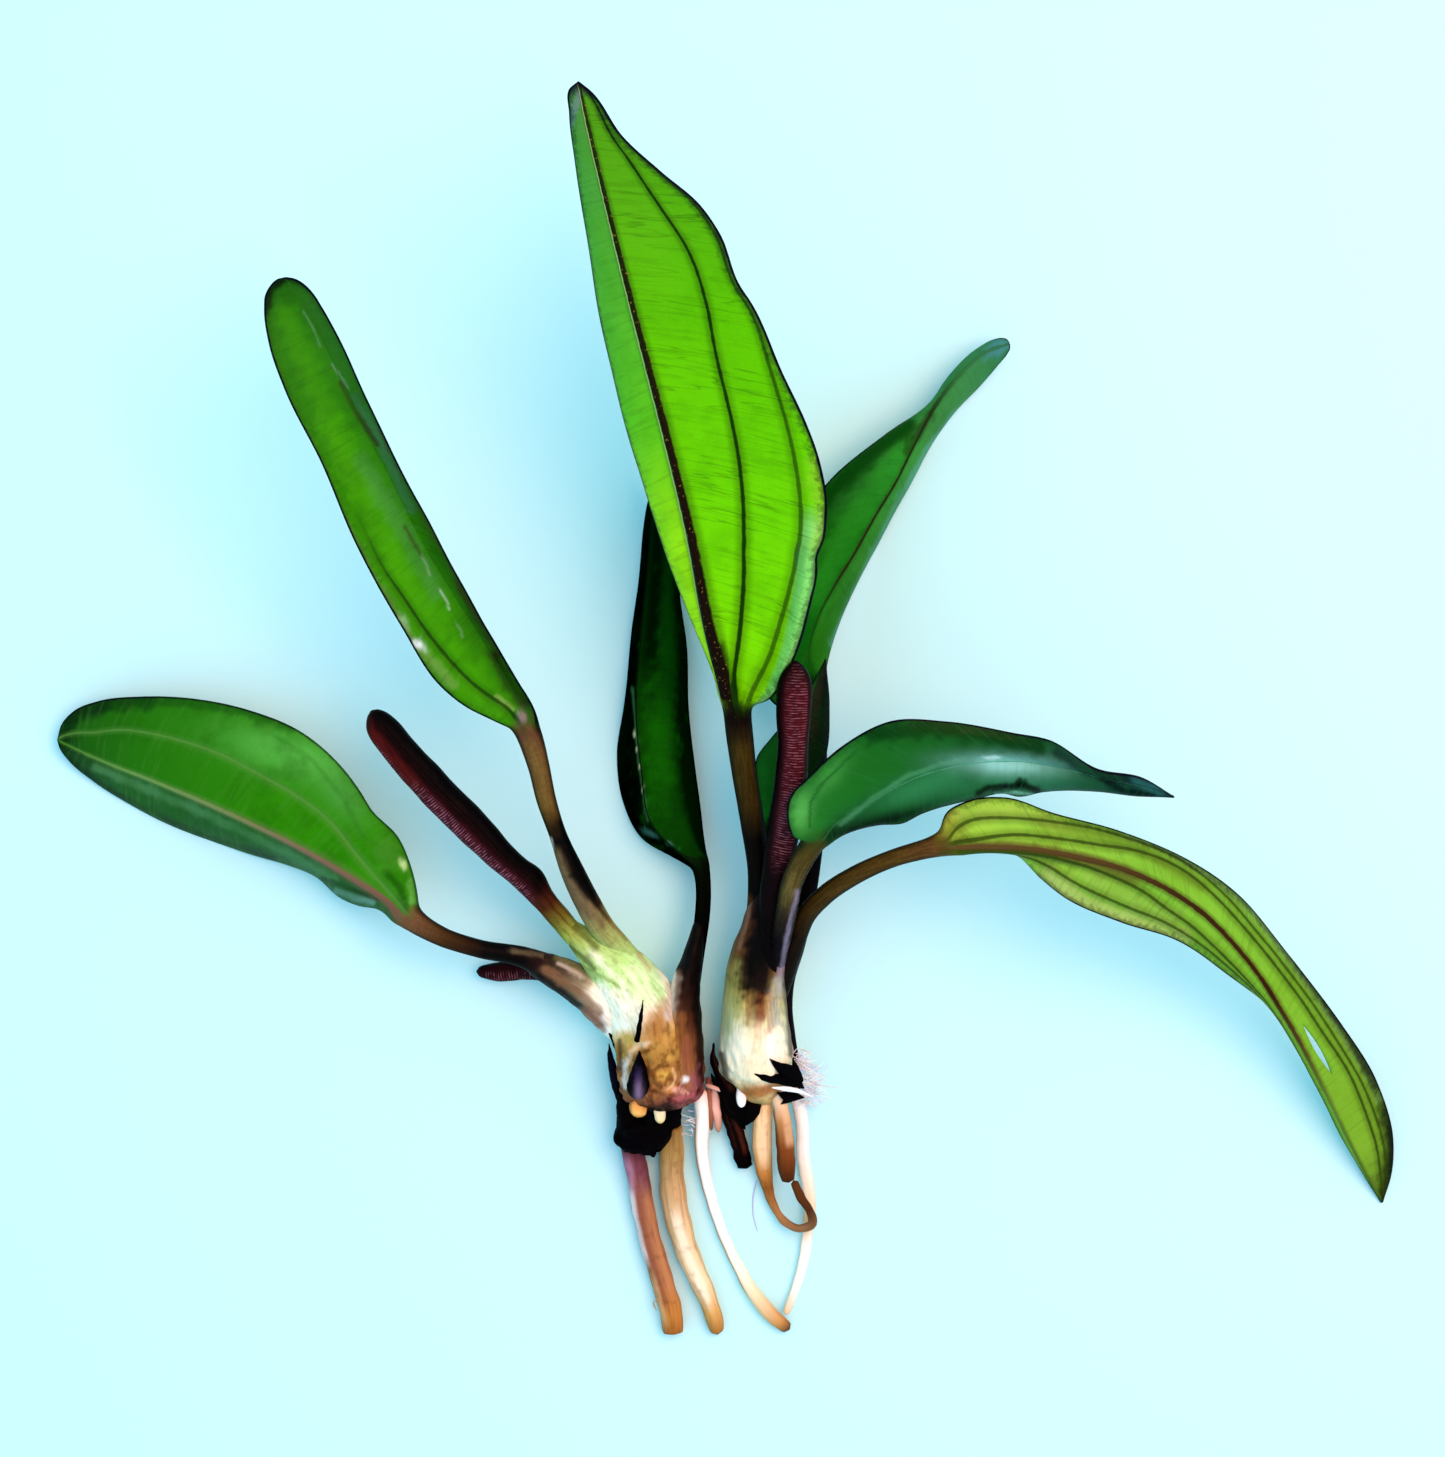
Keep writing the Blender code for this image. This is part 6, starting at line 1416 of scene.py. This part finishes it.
# The crowns: fused leaf bases, pale and streaked, over the knobbly rootstock.
sheathMarks = [
    ("line", [(-12.4, -26.3), (-11.2, -27.6), (-10.2, -29.2)], 1.1, "#FFFCE6", 0.95),
    ("line", [(-16.6, -22.9), (-15.2, -23.4), (-12.8, -24.9)], 0.4, "#80824E", 0.5),
    ("line", [(-16.4, -23.5), (-14.2, -24.6)], 0.25, "#D8C8B8", 0.6),
    ("line", [(-17.6, -24.2), (-15.6, -25.5), (-13.4, -27.2), (-12.3, -28.4)], 0.5, "#7E5C40", 0.75),
    ("line", [(-13.6, -28.2), (-12.6, -29.2), (-11.9, -30.2)], 0.35, "#7A4A34", 0.7),
]
leftCrown = [
    {
        # the base of the lowest leaf's stalk, which opens into the crown
        "route": [
            (-9.2, -30.8, 3.6, 1.6, 1.8), (-11, -28.3, 4.3, 2.2, 2.3), (-13.2, -26.3, 5.1, 2.1, 2.2),
            (-15.6, -24.9, 5.3, 1.8, 1.8), (-17.9, -23.8, 5.6, 1.45, 1.45), (-20.2, -22.95, 6.2, 1.1, 1.1),
        ],
        "step": 0.13, "columns": 80, "caps": (0.8, 3), "lumps": [(0.05, 1.6, 28, 1.1)],
        "ridges": (4, 0.02, 0.3),
        "tones": [(0, "#FFF8E0"), (0.3, "#FFFFF8"), (0.42, "#D8D0B4"), (0.52, "#8C8064"),
                  (0.66, "#564636"), (0.8, "#2C2018"), (1, "#181010")],
        "strips": [(-0.2, 0.14, 0.2, 0.45, "#7A4428", 0.85), (-0.21, 0.14, 0.42, 1.1, "#080404", 0.97)],
        "marks": sheathMarks,
    },
    {
        "route": [(-5.8, -38.2, 3.5, 1.8, 1.6), (-5.9, -36.9, 3.7, 3.5, 3.4),
                  (-6.1, -34.4, 4.1, 4.15, 4.5), (-6.4, -31.8, 4.3, 4.2, 4.8), (-7.2, -29.2, 4.6, 4, 4.6),
                  (-8.7, -26.6, 5, 3.5, 3.8), (-10.5, -24.3, 5.7, 3, 3), (-12.3, -22.6, 6.5, 2.1, 2.1),
                  (-14.3, -20.9, 7, 1.35, 1.3), (-15.9, -19.3, 7.4, 0.95, 0.95)],
        "step": 0.13, "columns": 190, "caps": (0.8, 2), "mottle": (0.8, 1.1, 0.36),
        "lumps": [(0.08, 2.2, 21, 1.1), (0.16, 1.2, 24, 0.4), (0.06, 0.6, 27, 0.4)],
        "ridges": (5, 0.02, 0.35), "fibres": [(0, 0.4), (0.35, 0.5), (0.45, 1), (1, 1)],
        "bumps": [
            (-5.85, -34.35, 1.2, 0.28, 0.14), (-3.65, -35.1, 0, 0.4, 0.3), (-4.4, -36.6, 0, 0.7, 0.4),
            (-9.3, -32, 0, 0.6, 0.3), (-7.5, -33.5, 0, 0.5, -0.3), (-5, -31.8, 0, 0.7, 0.25),
        ],
        "tones": [(0, "#3A1810"), (0.06, "#8A5038"), (0.15, "#986434"), (0.28, "#A87C38"),
                  (0.36, "#C0984C"), (0.42, "#E8C890"), (0.48, "#FAF0D8"), (0.55, "#F0FCDC"),
                  (0.6, "#D8FCB8"), (0.7, "#C4F098"), (0.82, "#B0D078"), (0.92, "#98A850"), (1, "#7A7430")],
        "marks": [
            ("spot", (-9.9, -28.6), (2.2, 1.4, -55), "#FFFCE2", 0.9),
            *sheathMarks,
            ("spot", (-8, -26), (2.2, 1.3, -45), "#D8FFB8", 0.7),
            ("spot", (-6.3, -26.2), (1.5, 0.8, -60), "#B8EC98", 0.8),
            ("line", [(-10.2, -20.4), (-9.2, -21.4), (-8.3, -22.6)], 0.32, "#9A7038", 0.75),
            ("line", [(-8.3, -22.6), (-7.4, -24)], 0.3, "#C8C080", 0.6),
            ("line", [(-14.6, -23.4), (-12, -24.8), (-9.6, -26.2)], 0.2, "#8AA050", 0.7),
            ("line", [(-15.2, -19.4), (-14, -20.6), (-12.6, -21.8)], 0.4, "#4A5A18", 0.7),
            ("line", [(-15.6, -21.6), (-13.8, -23), (-12.8, -24)], 0.3, "#4A4A18", 0.7),
            ("glow", (-12.6, -22.8), (1.1, 0.5, -35), "#FFFFF0", 0.6),
            ("spot", (-9, -24.5), (0.9, 0.4, -50), "#FFFFE4", 0.7),
            ("line", [(-12.4, -23.4), (-10.2, -25.2), (-9.2, -27.4)], 0.3, "#F0FFE0", 0.6),
            ("line", [(-10.6, -22.4), (-8, -25.4)], 0.25, "#A8D870", 0.5),
            ("spot", (-6.4, -29.6), (2.6, 1.3, 60), "#A87434", 0.9),
            ("line", [(-4.9, -24.6), (-5.1, -26.6), (-5.4, -28.8)], 0.55, "#D0C4B4", 0.85),
            ("line", [(-6.9, -29.4), (-6.6, -31.4)], 0.14, "#6A4014", 0.5),
            ("line", [(-5.5, -29.4), (-5.3, -31.6)], 0.16, "#5A3010", 0.5),
            ("line", [(-7.7, -33.9), (-7.3, -36.2)], 0.28, "#5A3010", 0.75),
            # painted shadow: dark brown below the ring scar
            ("line", [(-6.9, -36.2), (-5.2, -36.7)], 0.22, "#5A3010", 0.7),
            ("spot", (-6, -31.2), (0.9, 0.5, 0), "#D0A050", 0.6),
            ("spot", (-9.3, -31), (1.1, 0.6, -20), "#CCA844", 0.85),
            ("spot", (-5.4, -33), (0.6, 0.35, 0), "#E0C060", 0.4),
            ("line", [(-2.2, -29), (-2, -33), (-2.4, -36.6)], 0.7, "#1A0A0C", 0.9),
            ("spot", (-5.2, -36.1), (0.8, 0.5, 0), "#D09058", 0.6),
            ("line", [(-9.5, -33.4), (-9.2, -32.4), (-8.5, -31.7), (-7.5, -31.5)], 0.3, "#DCC4A0", 0.85),
            ("line", [(-8.7, -33.2), (-8.2, -32.4), (-7.4, -32.2)], 0.2, "#6A4014", 0.7),
            ("spot", (-5.9, -34.6), (0.75, 0.65, 20), "#DCAC4C", 0.8),
            ("line", [(-5.4, -33.75), (-6.3, -33.7), (-6.85, -34.3), (-6.75, -35.3), (-6.2, -35.9)],
             0.2, "#6A3C10", 0.75),
            ("line", [(-5, -34), (-4.7, -34.8), (-5, -35.7), (-5.5, -36.1)], 0.13, "#E4B880", 0.8),
            ("spot", (-6.1, -34.8), (0.3, 0.18, 0), "#6A3C14", 0.6),
            ("spot", (-2.9, -34), (3.2, 1.1, 90), "#683038", 0.9),
            ("spot", (-3.65, -35.1), (0.36, 0.36, 0), "#FFFFFF", 1),
            ("spot", (-3.9, -36.9), (1.5, 0.7, 20), "#B86068", 0.8),
            ("line", [(-4.8, -36.1), (-3.6, -36.4)], 0.25, "#F0B8A8", 0.6),
            ("line", [(-5.4, -37), (-4.4, -37.5), (-3, -37.2)], 0.2, "#6A2020", 0.7),
            ("line", [(-9.8, -33.4), (-9.7, -35.8)], 0.36, "#DCD0C4", 0.9),
            ("line", [(-10.3, -31.2), (-10.2, -34)], 0.25, "#3A2014", 0.75),
            ("line", [(-9.8, -38.2), (-7.5, -38.3), (-5.4, -38.1)], 0.8, "#0C0504", 0.95),
        ],
    },
    {
        # the base of the dark leaf's stalk, wrapped round the right side
        "route": [
            (-3.4, -36.4, 4.2, 0.9, 1.6), (-3.6, -34.8, 4.9, 1.5, 2.6), (-3.8, -32.4, 5.6, 1.85, 3),
            (-4, -29.8, 6, 1.9, 2.7), (-3.9, -27.2, 6.1, 1.65, 2.2), (-3.5, -24.8, 5.9, 1.25, 1.5),
            (-2.9, -22.6, 5.4, 0.95, 1.05), (-2.45, -20.4, 5, 0.74, 0.75), (-2.2, -19, 4.8, 0.6, 0.6),
        ],
        "step": 0.13, "columns": 72, "caps": (0.8, 1), "lumps": [(0.06, 1.6, 22, 1.1)],
        "ridges": (4, 0.02, 0.2),
        "tones": [(0, "#A86058"), (0.12, "#98603C"), (0.28, "#824C2A"), (0.42, "#482614"),
                  (0.55, "#240F08"), (0.7, "#0A0606"), (1, "#040303")],
        "marks": [
            ("line", [(-4.9, -25), (-5.3, -27.2), (-5.4, -29.2)], 0.65, "#D8CCBC", 0.9),
            ("line", [(-5, -24.4), (-5.9, -26.4)], 0.3, "#E8F0E0", 0.7),
            ("line", [(-4.3, -24.4), (-4.5, -27), (-4.4, -29.4)], 0.3, "#5A3C30", 0.7),
            ("line", [(-5.4, -29.2), (-5.1, -32), (-4.9, -34.6), (-4.5, -36.4)], 0.95, "#B07A3A", 0.92),
            ("line", [(-4.1, -28.6), (-4, -32.2)], 0.4, "#7A4A24", 0.8),
            ("line", [(-2.5, -24.6), (-2.45, -28), (-2.2, -32), (-2.15, -35.4)], 0.62, "#060204", 0.95),
            ("spot", (-3.7, -32.6), (1.4, 0.5, 90), "#8A5038", 0.7),
            ("spot", (-3.65, -35.1), (0.36, 0.36, 0), "#FFFFFF", 1),
            ("spot", (-2.9, -35.6), (1.6, 0.5, 90), "#9A5058", 0.7),
        ],
    },
]
crownLook = {
    "name": "pale fused leaf bases", "fibre": 0.3, "fibreStretch": 0.1, "fibreDark": 0.3,
    "deep": "#A08A50", "fibrePale": 0.45, "blotch": 0.3, "rough": 0.42,
}
makeTubes("left_crown", leftCrown, crownLook)
rightCrown = [
    {
        "route": [(2.2, -37, 3.4, 1.2, 1), (2.9, -35.9, 3.6, 2.7, 2.6), (3.3, -34, 3.9, 3.5, 4.2),
                  (3.3, -31.6, 4.3, 3.55, 4.6), (3.2, -28.6, 4.8, 3.2, 4.5), (3.3, -25.6, 5.6, 3, 4),
                  (3.7, -23.1, 6.6, 2.9, 3.3), (4.15, -21.2, 7.5, 2.6, 2.6), (4.5, -19.2, 8.4, 2.3, 2.1),
                  (4.7, -17.4, 9, 1.8, 1.6), (4.8, -15.8, 9.6, 1.1, 1.1)],
        "step": 0.13, "columns": 170, "caps": (0.6, 1.2), "mottle": (0.3, 1.3, 0.2),
        "lumps": [(0.07, 2.4, 23, 1.1), (0.12, 1, 26, 0.3)], "ridges": (4, 0.02, 0.2),
        "tones": [(0, "#6A3C14"), (0.06, "#D8B878"), (0.14, "#F4ECC8"), (0.3, "#F8F2CC"),
                  (0.4, "#E0DCA8"), (0.48, "#C4B46C"), (0.56, "#A4944C"), (0.66, "#74542C"),
                  (0.75, "#643C20"), (0.9, "#4C2A18"), (1, "#140C0A")],
        "marks": [
            # painted highlights: two pale patches on the crown
            ("spot", (1.4, -32), (2.6, 1.3, 80), "#FFFDE8", 0.6),
            ("spot", (5.1, -31.8), (2.4, 1.1, 90), "#FFFFF4", 0.6),
            ("spot", (0.5, -29), (2.4, 0.6, 90), "#B4BC80", 0.7),
            ("line", [(1.6, -23.4), (1.3, -26), (1.5, -28.6)], 0.5, "#A8A85C", 0.6),
            ("line", [(3.4, -25.6), (3.5, -28.8)], 0.9, "#5A3418", 0.75),
            ("line", [(3.9, -26.4), (3.9, -28.8)], 0.5, "#7A3C20", 0.8),
            ("spot", (3.6, -30.4), (1.2, 0.6, 90), "#E4B898", 0.4),
            ("line", [(2.6, -26), (2.5, -29.6)], 0.3, "#8A6030", 0.65),
            ("line", [(4.8, -26.2), (4.7, -30.2)], 0.4, "#B07C64", 0.55),
            # black where the stalks part: the dark sheath at the spear's base and painted shade between the
            # stalks
            ("line", [(5.1, -15.4), (4.5, -19), (3.9, -21.6), (3.3, -23.6), (3.1, -25)],
             1.95, "#030102", 0.98),
            ("line", [(4.6, -18), (4, -21.2), (3.6, -23.4), (3.5, -24.6)], 1.5, "#020101", 1),
            ("spot", (3.7, -25.4), (1.3, 1, 0), "#140A06", 0.85),
            ("line", [(6.2, -16.5), (6.5, -19.5), (6.1, -23), (5.7, -26)], 0.55, "#988EA4", 0.6),
            ("line", [(5.5, -25.4), (5.3, -29.2)], 0.6, "#A8A898", 0.75),
            ("line", [(6.6, -24.5), (6.6, -28.5), (6.9, -32.5)], 0.45, "#2A1C20", 0.85),
            ("line", [(2.4, -36.4), (4, -36.2), (5.6, -35.9)], 0.75, "#A86224", 0.9),
            ("line", [(-0.1, -32.6), (0.4, -35), (1.2, -36.4)], 0.4, "#241008", 0.85),
            ("line", [(2.9, -16), (2.4, -19.4), (1.6, -22)], 0.25, "#8A6450", 0.6),
        ],
        "fibres": [(0, 0.4), (0.3, 0.5), (0.45, 1), (1, 1)],
    },
]
makeTubes("right_crown", rightCrown, crownLook)
print("crowns made")

# Dead scales: brittle black remains of old leaf bases, pointed, curved across.
scaleShape = {
    "step": 0.1, "columns": 24, "caps": (0.08, 0.08), "curl": 0.3, "ragged": (0.06, 0.8),
    "lumps": [(0.03, 0.8, 31, 1.1)], "tones": [(0, "#020104"), (1, "#040203")],
}
scales = {
    "dead_stump": [
        {
            "route": [(-10.5, -39.6, 2.4, 0.8, 0.9), (-9.6, -40.2, 2.5, 1.7, 1.9),
                      (-7.6, -40.4, 2.6, 2.2, 2.1), (-5.8, -39.8, 2.5, 1.5, 1.8),
                      (-4.4, -39.2, 2.3, 0.6, 0.7)],
            "columns": 100, "caps": (0.5, 0.5), "curl": 0, "lumps": [(0.22, 1.5, 32, 1.1)],
            "ridges": (6, 0.05, 0.6),
        },
        {"route": [(-10.2, -37.6, 3.4, 0.1, 0.1), (-10.1, -39, 3.6, 0.5, 0.3), (-9.8, -41, 3.2, 0.7, 0.4)]},
        {"route": [(-4, -37.8, 3.6, 0.1, 0.1), (-4.8, -38.8, 3.8, 0.5, 0.3), (-6, -40, 4, 0.9, 0.4)]},
        {"route": [(-7.3, -40, 3.9, 0.8, 0.5), (-7.1, -41.8, 3, 0.8, 0.5), (-6.9, -42.8, 2.2, 0.2, 0.2)]},
        {"route": [(-10, -35.8, 4.2, 0.3, 0.3), (-9.7, -37.6, 4.3, 0.9, 0.6), (-9.4, -40, 3.6, 1.1, 0.8)]},
        {
            "route": [(-7.4, -36.8, 4.6, 0.4, 0.3), (-7.3, -38.2, 4.6, 0.7, 0.5),
                      (-7.2, -40.2, 3.8, 0.9, 0.6)],
        },
        {"route": [(-5.5, -37.2, 4.4, 0.3, 0.3), (-5.1, -38.3, 4.4, 0.8, 0.5), (-5, -39.8, 3.6, 0.9, 0.6)]},
    ],
    "left_scale": [
        {
            "route": [(-11.35, -31.5, 5.8, 0.05, 0.05), (-11.2, -32.9, 5.4, 0.3, 0.2),
                      (-10.9, -34.4, 4.8, 0.45, 0.25), (-10.6, -36, 4, 0.4, 0.25),
                      (-10.3, -37.6, 3.4, 0.15, 0.12)],
            "tones": [(0, "#020208"), (0.5, "#06081A"), (1, "#0A0606")],
        },
        {
            "route": [(-11.9, -29, 5.2, 0.04, 0.04), (-11.2, -30.6, 5.4, 0.18, 0.12),
                      (-10.7, -32, 5.4, 0.12, 0.1)],
        },
    ],
    "spike_scale": [
        {
            "route": [(-8.3, -32.2, 9.6, 0.05, 0.05), (-8.3, -33.2, 9.4, 0.4, 0.2),
                      (-8.35, -34.6, 9, 0.85, 0.3), (-8.4, -35.9, 8.4, 1.15, 0.35),
                      (-8.4, -36.9, 7.5, 0.9, 0.3)],
            "columns": 40,
            "marks": [
                ("spot", (-8.4, -35.3), (1.3, 0.4, 90), "#32284C", 0.85),
                ("glow", (-8.4, -36.4), (1.2, 0.5, 90), "#8A7090", 0.85),
            ],
        },
    ],
    "thin_spine": [
        {
            "route": [(-7.95, -27.1, 9.6, 0.03, 0.03), (-8.1, -28.4, 10.2, 0.15, 0.1),
                      (-8.35, -30, 10.3, 0.24, 0.14), (-8.6, -31.4, 9.8, 0.26, 0.14)],
        },
    ],
    "right_scale": [
        {
            "route": [(4.7, -33, 8.6, 0.04, 0.04), (5.6, -33.8, 8.2, 0.4, 0.2),
                      (6.8, -34.5, 7.2, 0.75, 0.25), (7.9, -35.9, 5.6, 0.3, 0.2)],
        },
        {
            "route": [(3.1, -34.5, 8.4, 0.04, 0.04), (4.2, -34.9, 8.2, 0.35, 0.2),
                      (5.8, -35.1, 7.4, 0.5, 0.25), (7.4, -35.5, 6.2, 0.5, 0.25),
                      (8.2, -36, 5.4, 0.05, 0.05)],
        },
        {"route": [(7, -32.9, 6.8, 0.04, 0.04), (7.3, -34, 6.8, 0.35, 0.2), (7.9, -35.4, 6, 0.3, 0.2)]},
    ],
    "lower_right_scale": [
        {
            "route": [(5.4, -36.4, 6, 0.04, 0.04), (6.2, -36.7, 5.8, 0.4, 0.2),
                      (7.2, -36.8, 5.4, 0.5, 0.25), (8.2, -36.9, 4.8, 0.04, 0.04)],
        },
        {
            "route": [(5.8, -37.6, 5.2, 0.04, 0.04), (6.6, -37.1, 5.4, 0.35, 0.2),
                      (7.5, -36.8, 5.2, 0.2, 0.15)],
        },
    ],
}
for scaleName, parts in scales.items():
    makeTubes(scaleName, [{**scaleShape, **part} for part in parts], deadLook)
print("dead scales made")

# Root hairs and a lost rootlet: fine pale threads at the right crown and beside the left one.
rootHair = {
    "tufts": [(7.4, -33.4, 4.4, 0.45, 80), (7.9, -36.2, 4.0, 0.45, 80), (8.6, -35.0, 3.2, 0.6, 70),
              (-3.9, -39.0, 2.6, 0.5, 20)],  # the middle, how far its hairs stand apart, how many
    "spread": (1.0, 1.6, 0.6), "way": (1.0, -0.25, -0.2), "unruly": 0.5, "length": (0.7, 1.8),
    "radius": 0.055, "bend": 0.25, "sag": 0.25, "lowest": 0.08, "seed": 8,
    "colours": ("#F0F8FF", "#D8DCFF", "#DCD0C8", "#FFFFFF"),
}


def hairTube(start, way, length, colour):
    # A thread: start + way * length * s, sagging by sag * length * s^2 and bent to one side
    s = np.linspace(0.0, 1.0, 5)[:, None]
    bend = chance.normal(0.0, rootHair["bend"], 3) * length
    sag = np.array((0.0, 0.0, rootHair["sag"] * length))
    points = start + way * length * s + bend * s**2 - sag * s**2
    points[:, 2] = np.maximum(points[:, 2], rootHair["lowest"])
    size = rootHair["radius"] * (1.1 - 0.7 * s)
    return {"route": np.concatenate([points, size], axis=1), "columns": 5, "step": 0.3,
            "caps": (0.01, 0.01), "lumps": [], "tones": [(0.0, colour), (1.0, colour)]}


chance = np.random.default_rng(rootHair["seed"])
hairs = []
for x, y, z, apart, count in rootHair["tufts"]:
    for k in range(count):
        start = np.array((x, y, z)) + chance.normal(0.0, apart, 3) * rootHair["spread"]
        way = unit(np.array(rootHair["way"]) + chance.normal(0.0, rootHair["unruly"], 3))
        colour = rootHair["colours"][k % len(rootHair["colours"])]
        hairs.append(hairTube(start, way, chance.uniform(*rootHair["length"]), colour))
whiteRootlet = {
    "route": [(4.9, -35.9, 7.6, 0.05, 0.05), (6, -36, 7.5, 0.22, 0.16), (7.4, -36.2, 6.8, 0.24, 0.16),
              (9, -36.8, 5.6, 0.06, 0.06)],
    "columns": 16, "step": 0.15, "caps": (0.05, 0.05), "tones": [(0, "#FFFFFF"), (1, "#F4F0FF")],
}
lilacHair = {
    "route": [(3.45, -45.1, 0.4, 0.05), (3.05, -47.1, 0.12, 0.05), (3.1, -48.8, 0.08, 0.05),
              (3.55, -50.4, 0.08, 0.04)],
    "columns": 6, "caps": (0.02, 0.02), "lumps": [], "tones": [(0, "#B8A8D8"), (1, "#C8B8E0")],
}
makeTubes("root_hairs", hairs + [whiteRootlet, lilacHair], whiteRootLook, ())
print("hairs made")

# A plain pale sheet under the plant, a soft lamp high on the right and a pale sky round it.
studio = {
    "sheetHalf": 2.0,  # metres
    "sheet": "#BEF5FF", "sheetRough": 0.9, "sheetShine": 0.1,  # matt plastic sheet
    "sky": (0.6, 0.96, 1.16, 1.0), "skyStrength": 1.0,
    "sensor": 36.0, "clip": (0.01, 10.0),
}
half = studio["sheetHalf"]
floorMesh = bpy.data.meshes.new("table")
floorMesh.from_pydata([(-half, -half, 0), (half, -half, 0), (half, half, 0), (-half, half, 0)], [],
                      [(0, 1, 2, 3)])
floor = bpy.data.objects.new("table", floorMesh)
bpy.context.scene.collection.objects.link(floor)
paper, paperTree = newMaterial("pale sheet")
sheet = addNode(paperTree, "BsdfPrincipled", named={
    "Base Color": linear(studio["sheet"]), "Roughness": studio["sheetRough"],
    "Specular IOR Level": studio["sheetShine"],
})
addNode(paperTree, "OutputMaterial", sheet)
floorMesh.materials.append(paper)

world = bpy.data.worlds.new("soft room")
bpy.context.scene.world = world
world.use_nodes = True
sky = world.node_tree.nodes["Background"]
sky.inputs["Color"].default_value = studio["sky"]
sky.inputs["Strength"].default_value = studio["skyStrength"]

studioLights = [
    # name, place in metres, size, watts, colour
    ("softBox", (0.15, 0.07, 0.42), 0.3, 1.95, "#FFAA7C"),
]
for lightName, spot, size, power, colour in studioLights:
    light = bpy.data.lights.new(lightName, "AREA")
    light.size = size
    light.energy = power
    light.color = linear(colour)[:3]
    lamp = bpy.data.objects.new(lightName, light)
    bpy.context.scene.collection.objects.link(lamp)
    lamp.location = spot
    lamp.rotation_mode = "QUATERNION"
    lamp.rotation_quaternion = Vector(-np.array(spot)).to_track_quat("-Z", "Y")

camera = bpy.data.objects.new("camera", bpy.data.cameras.new("camera"))
bpy.context.scene.collection.objects.link(camera)
camera.location = (-planMiddle[0] * mm, -planMiddle[1] * mm, eyeHeight * mm)
camera.data.sensor_width = studio["sensor"]
camera.data.lens = studio["sensor"] * eyeHeight / viewHeight
camera.data.clip_start, camera.data.clip_end = studio["clip"]
bpy.context.scene.camera = camera
bpy.context.scene.view_settings.view_transform = "Standard"
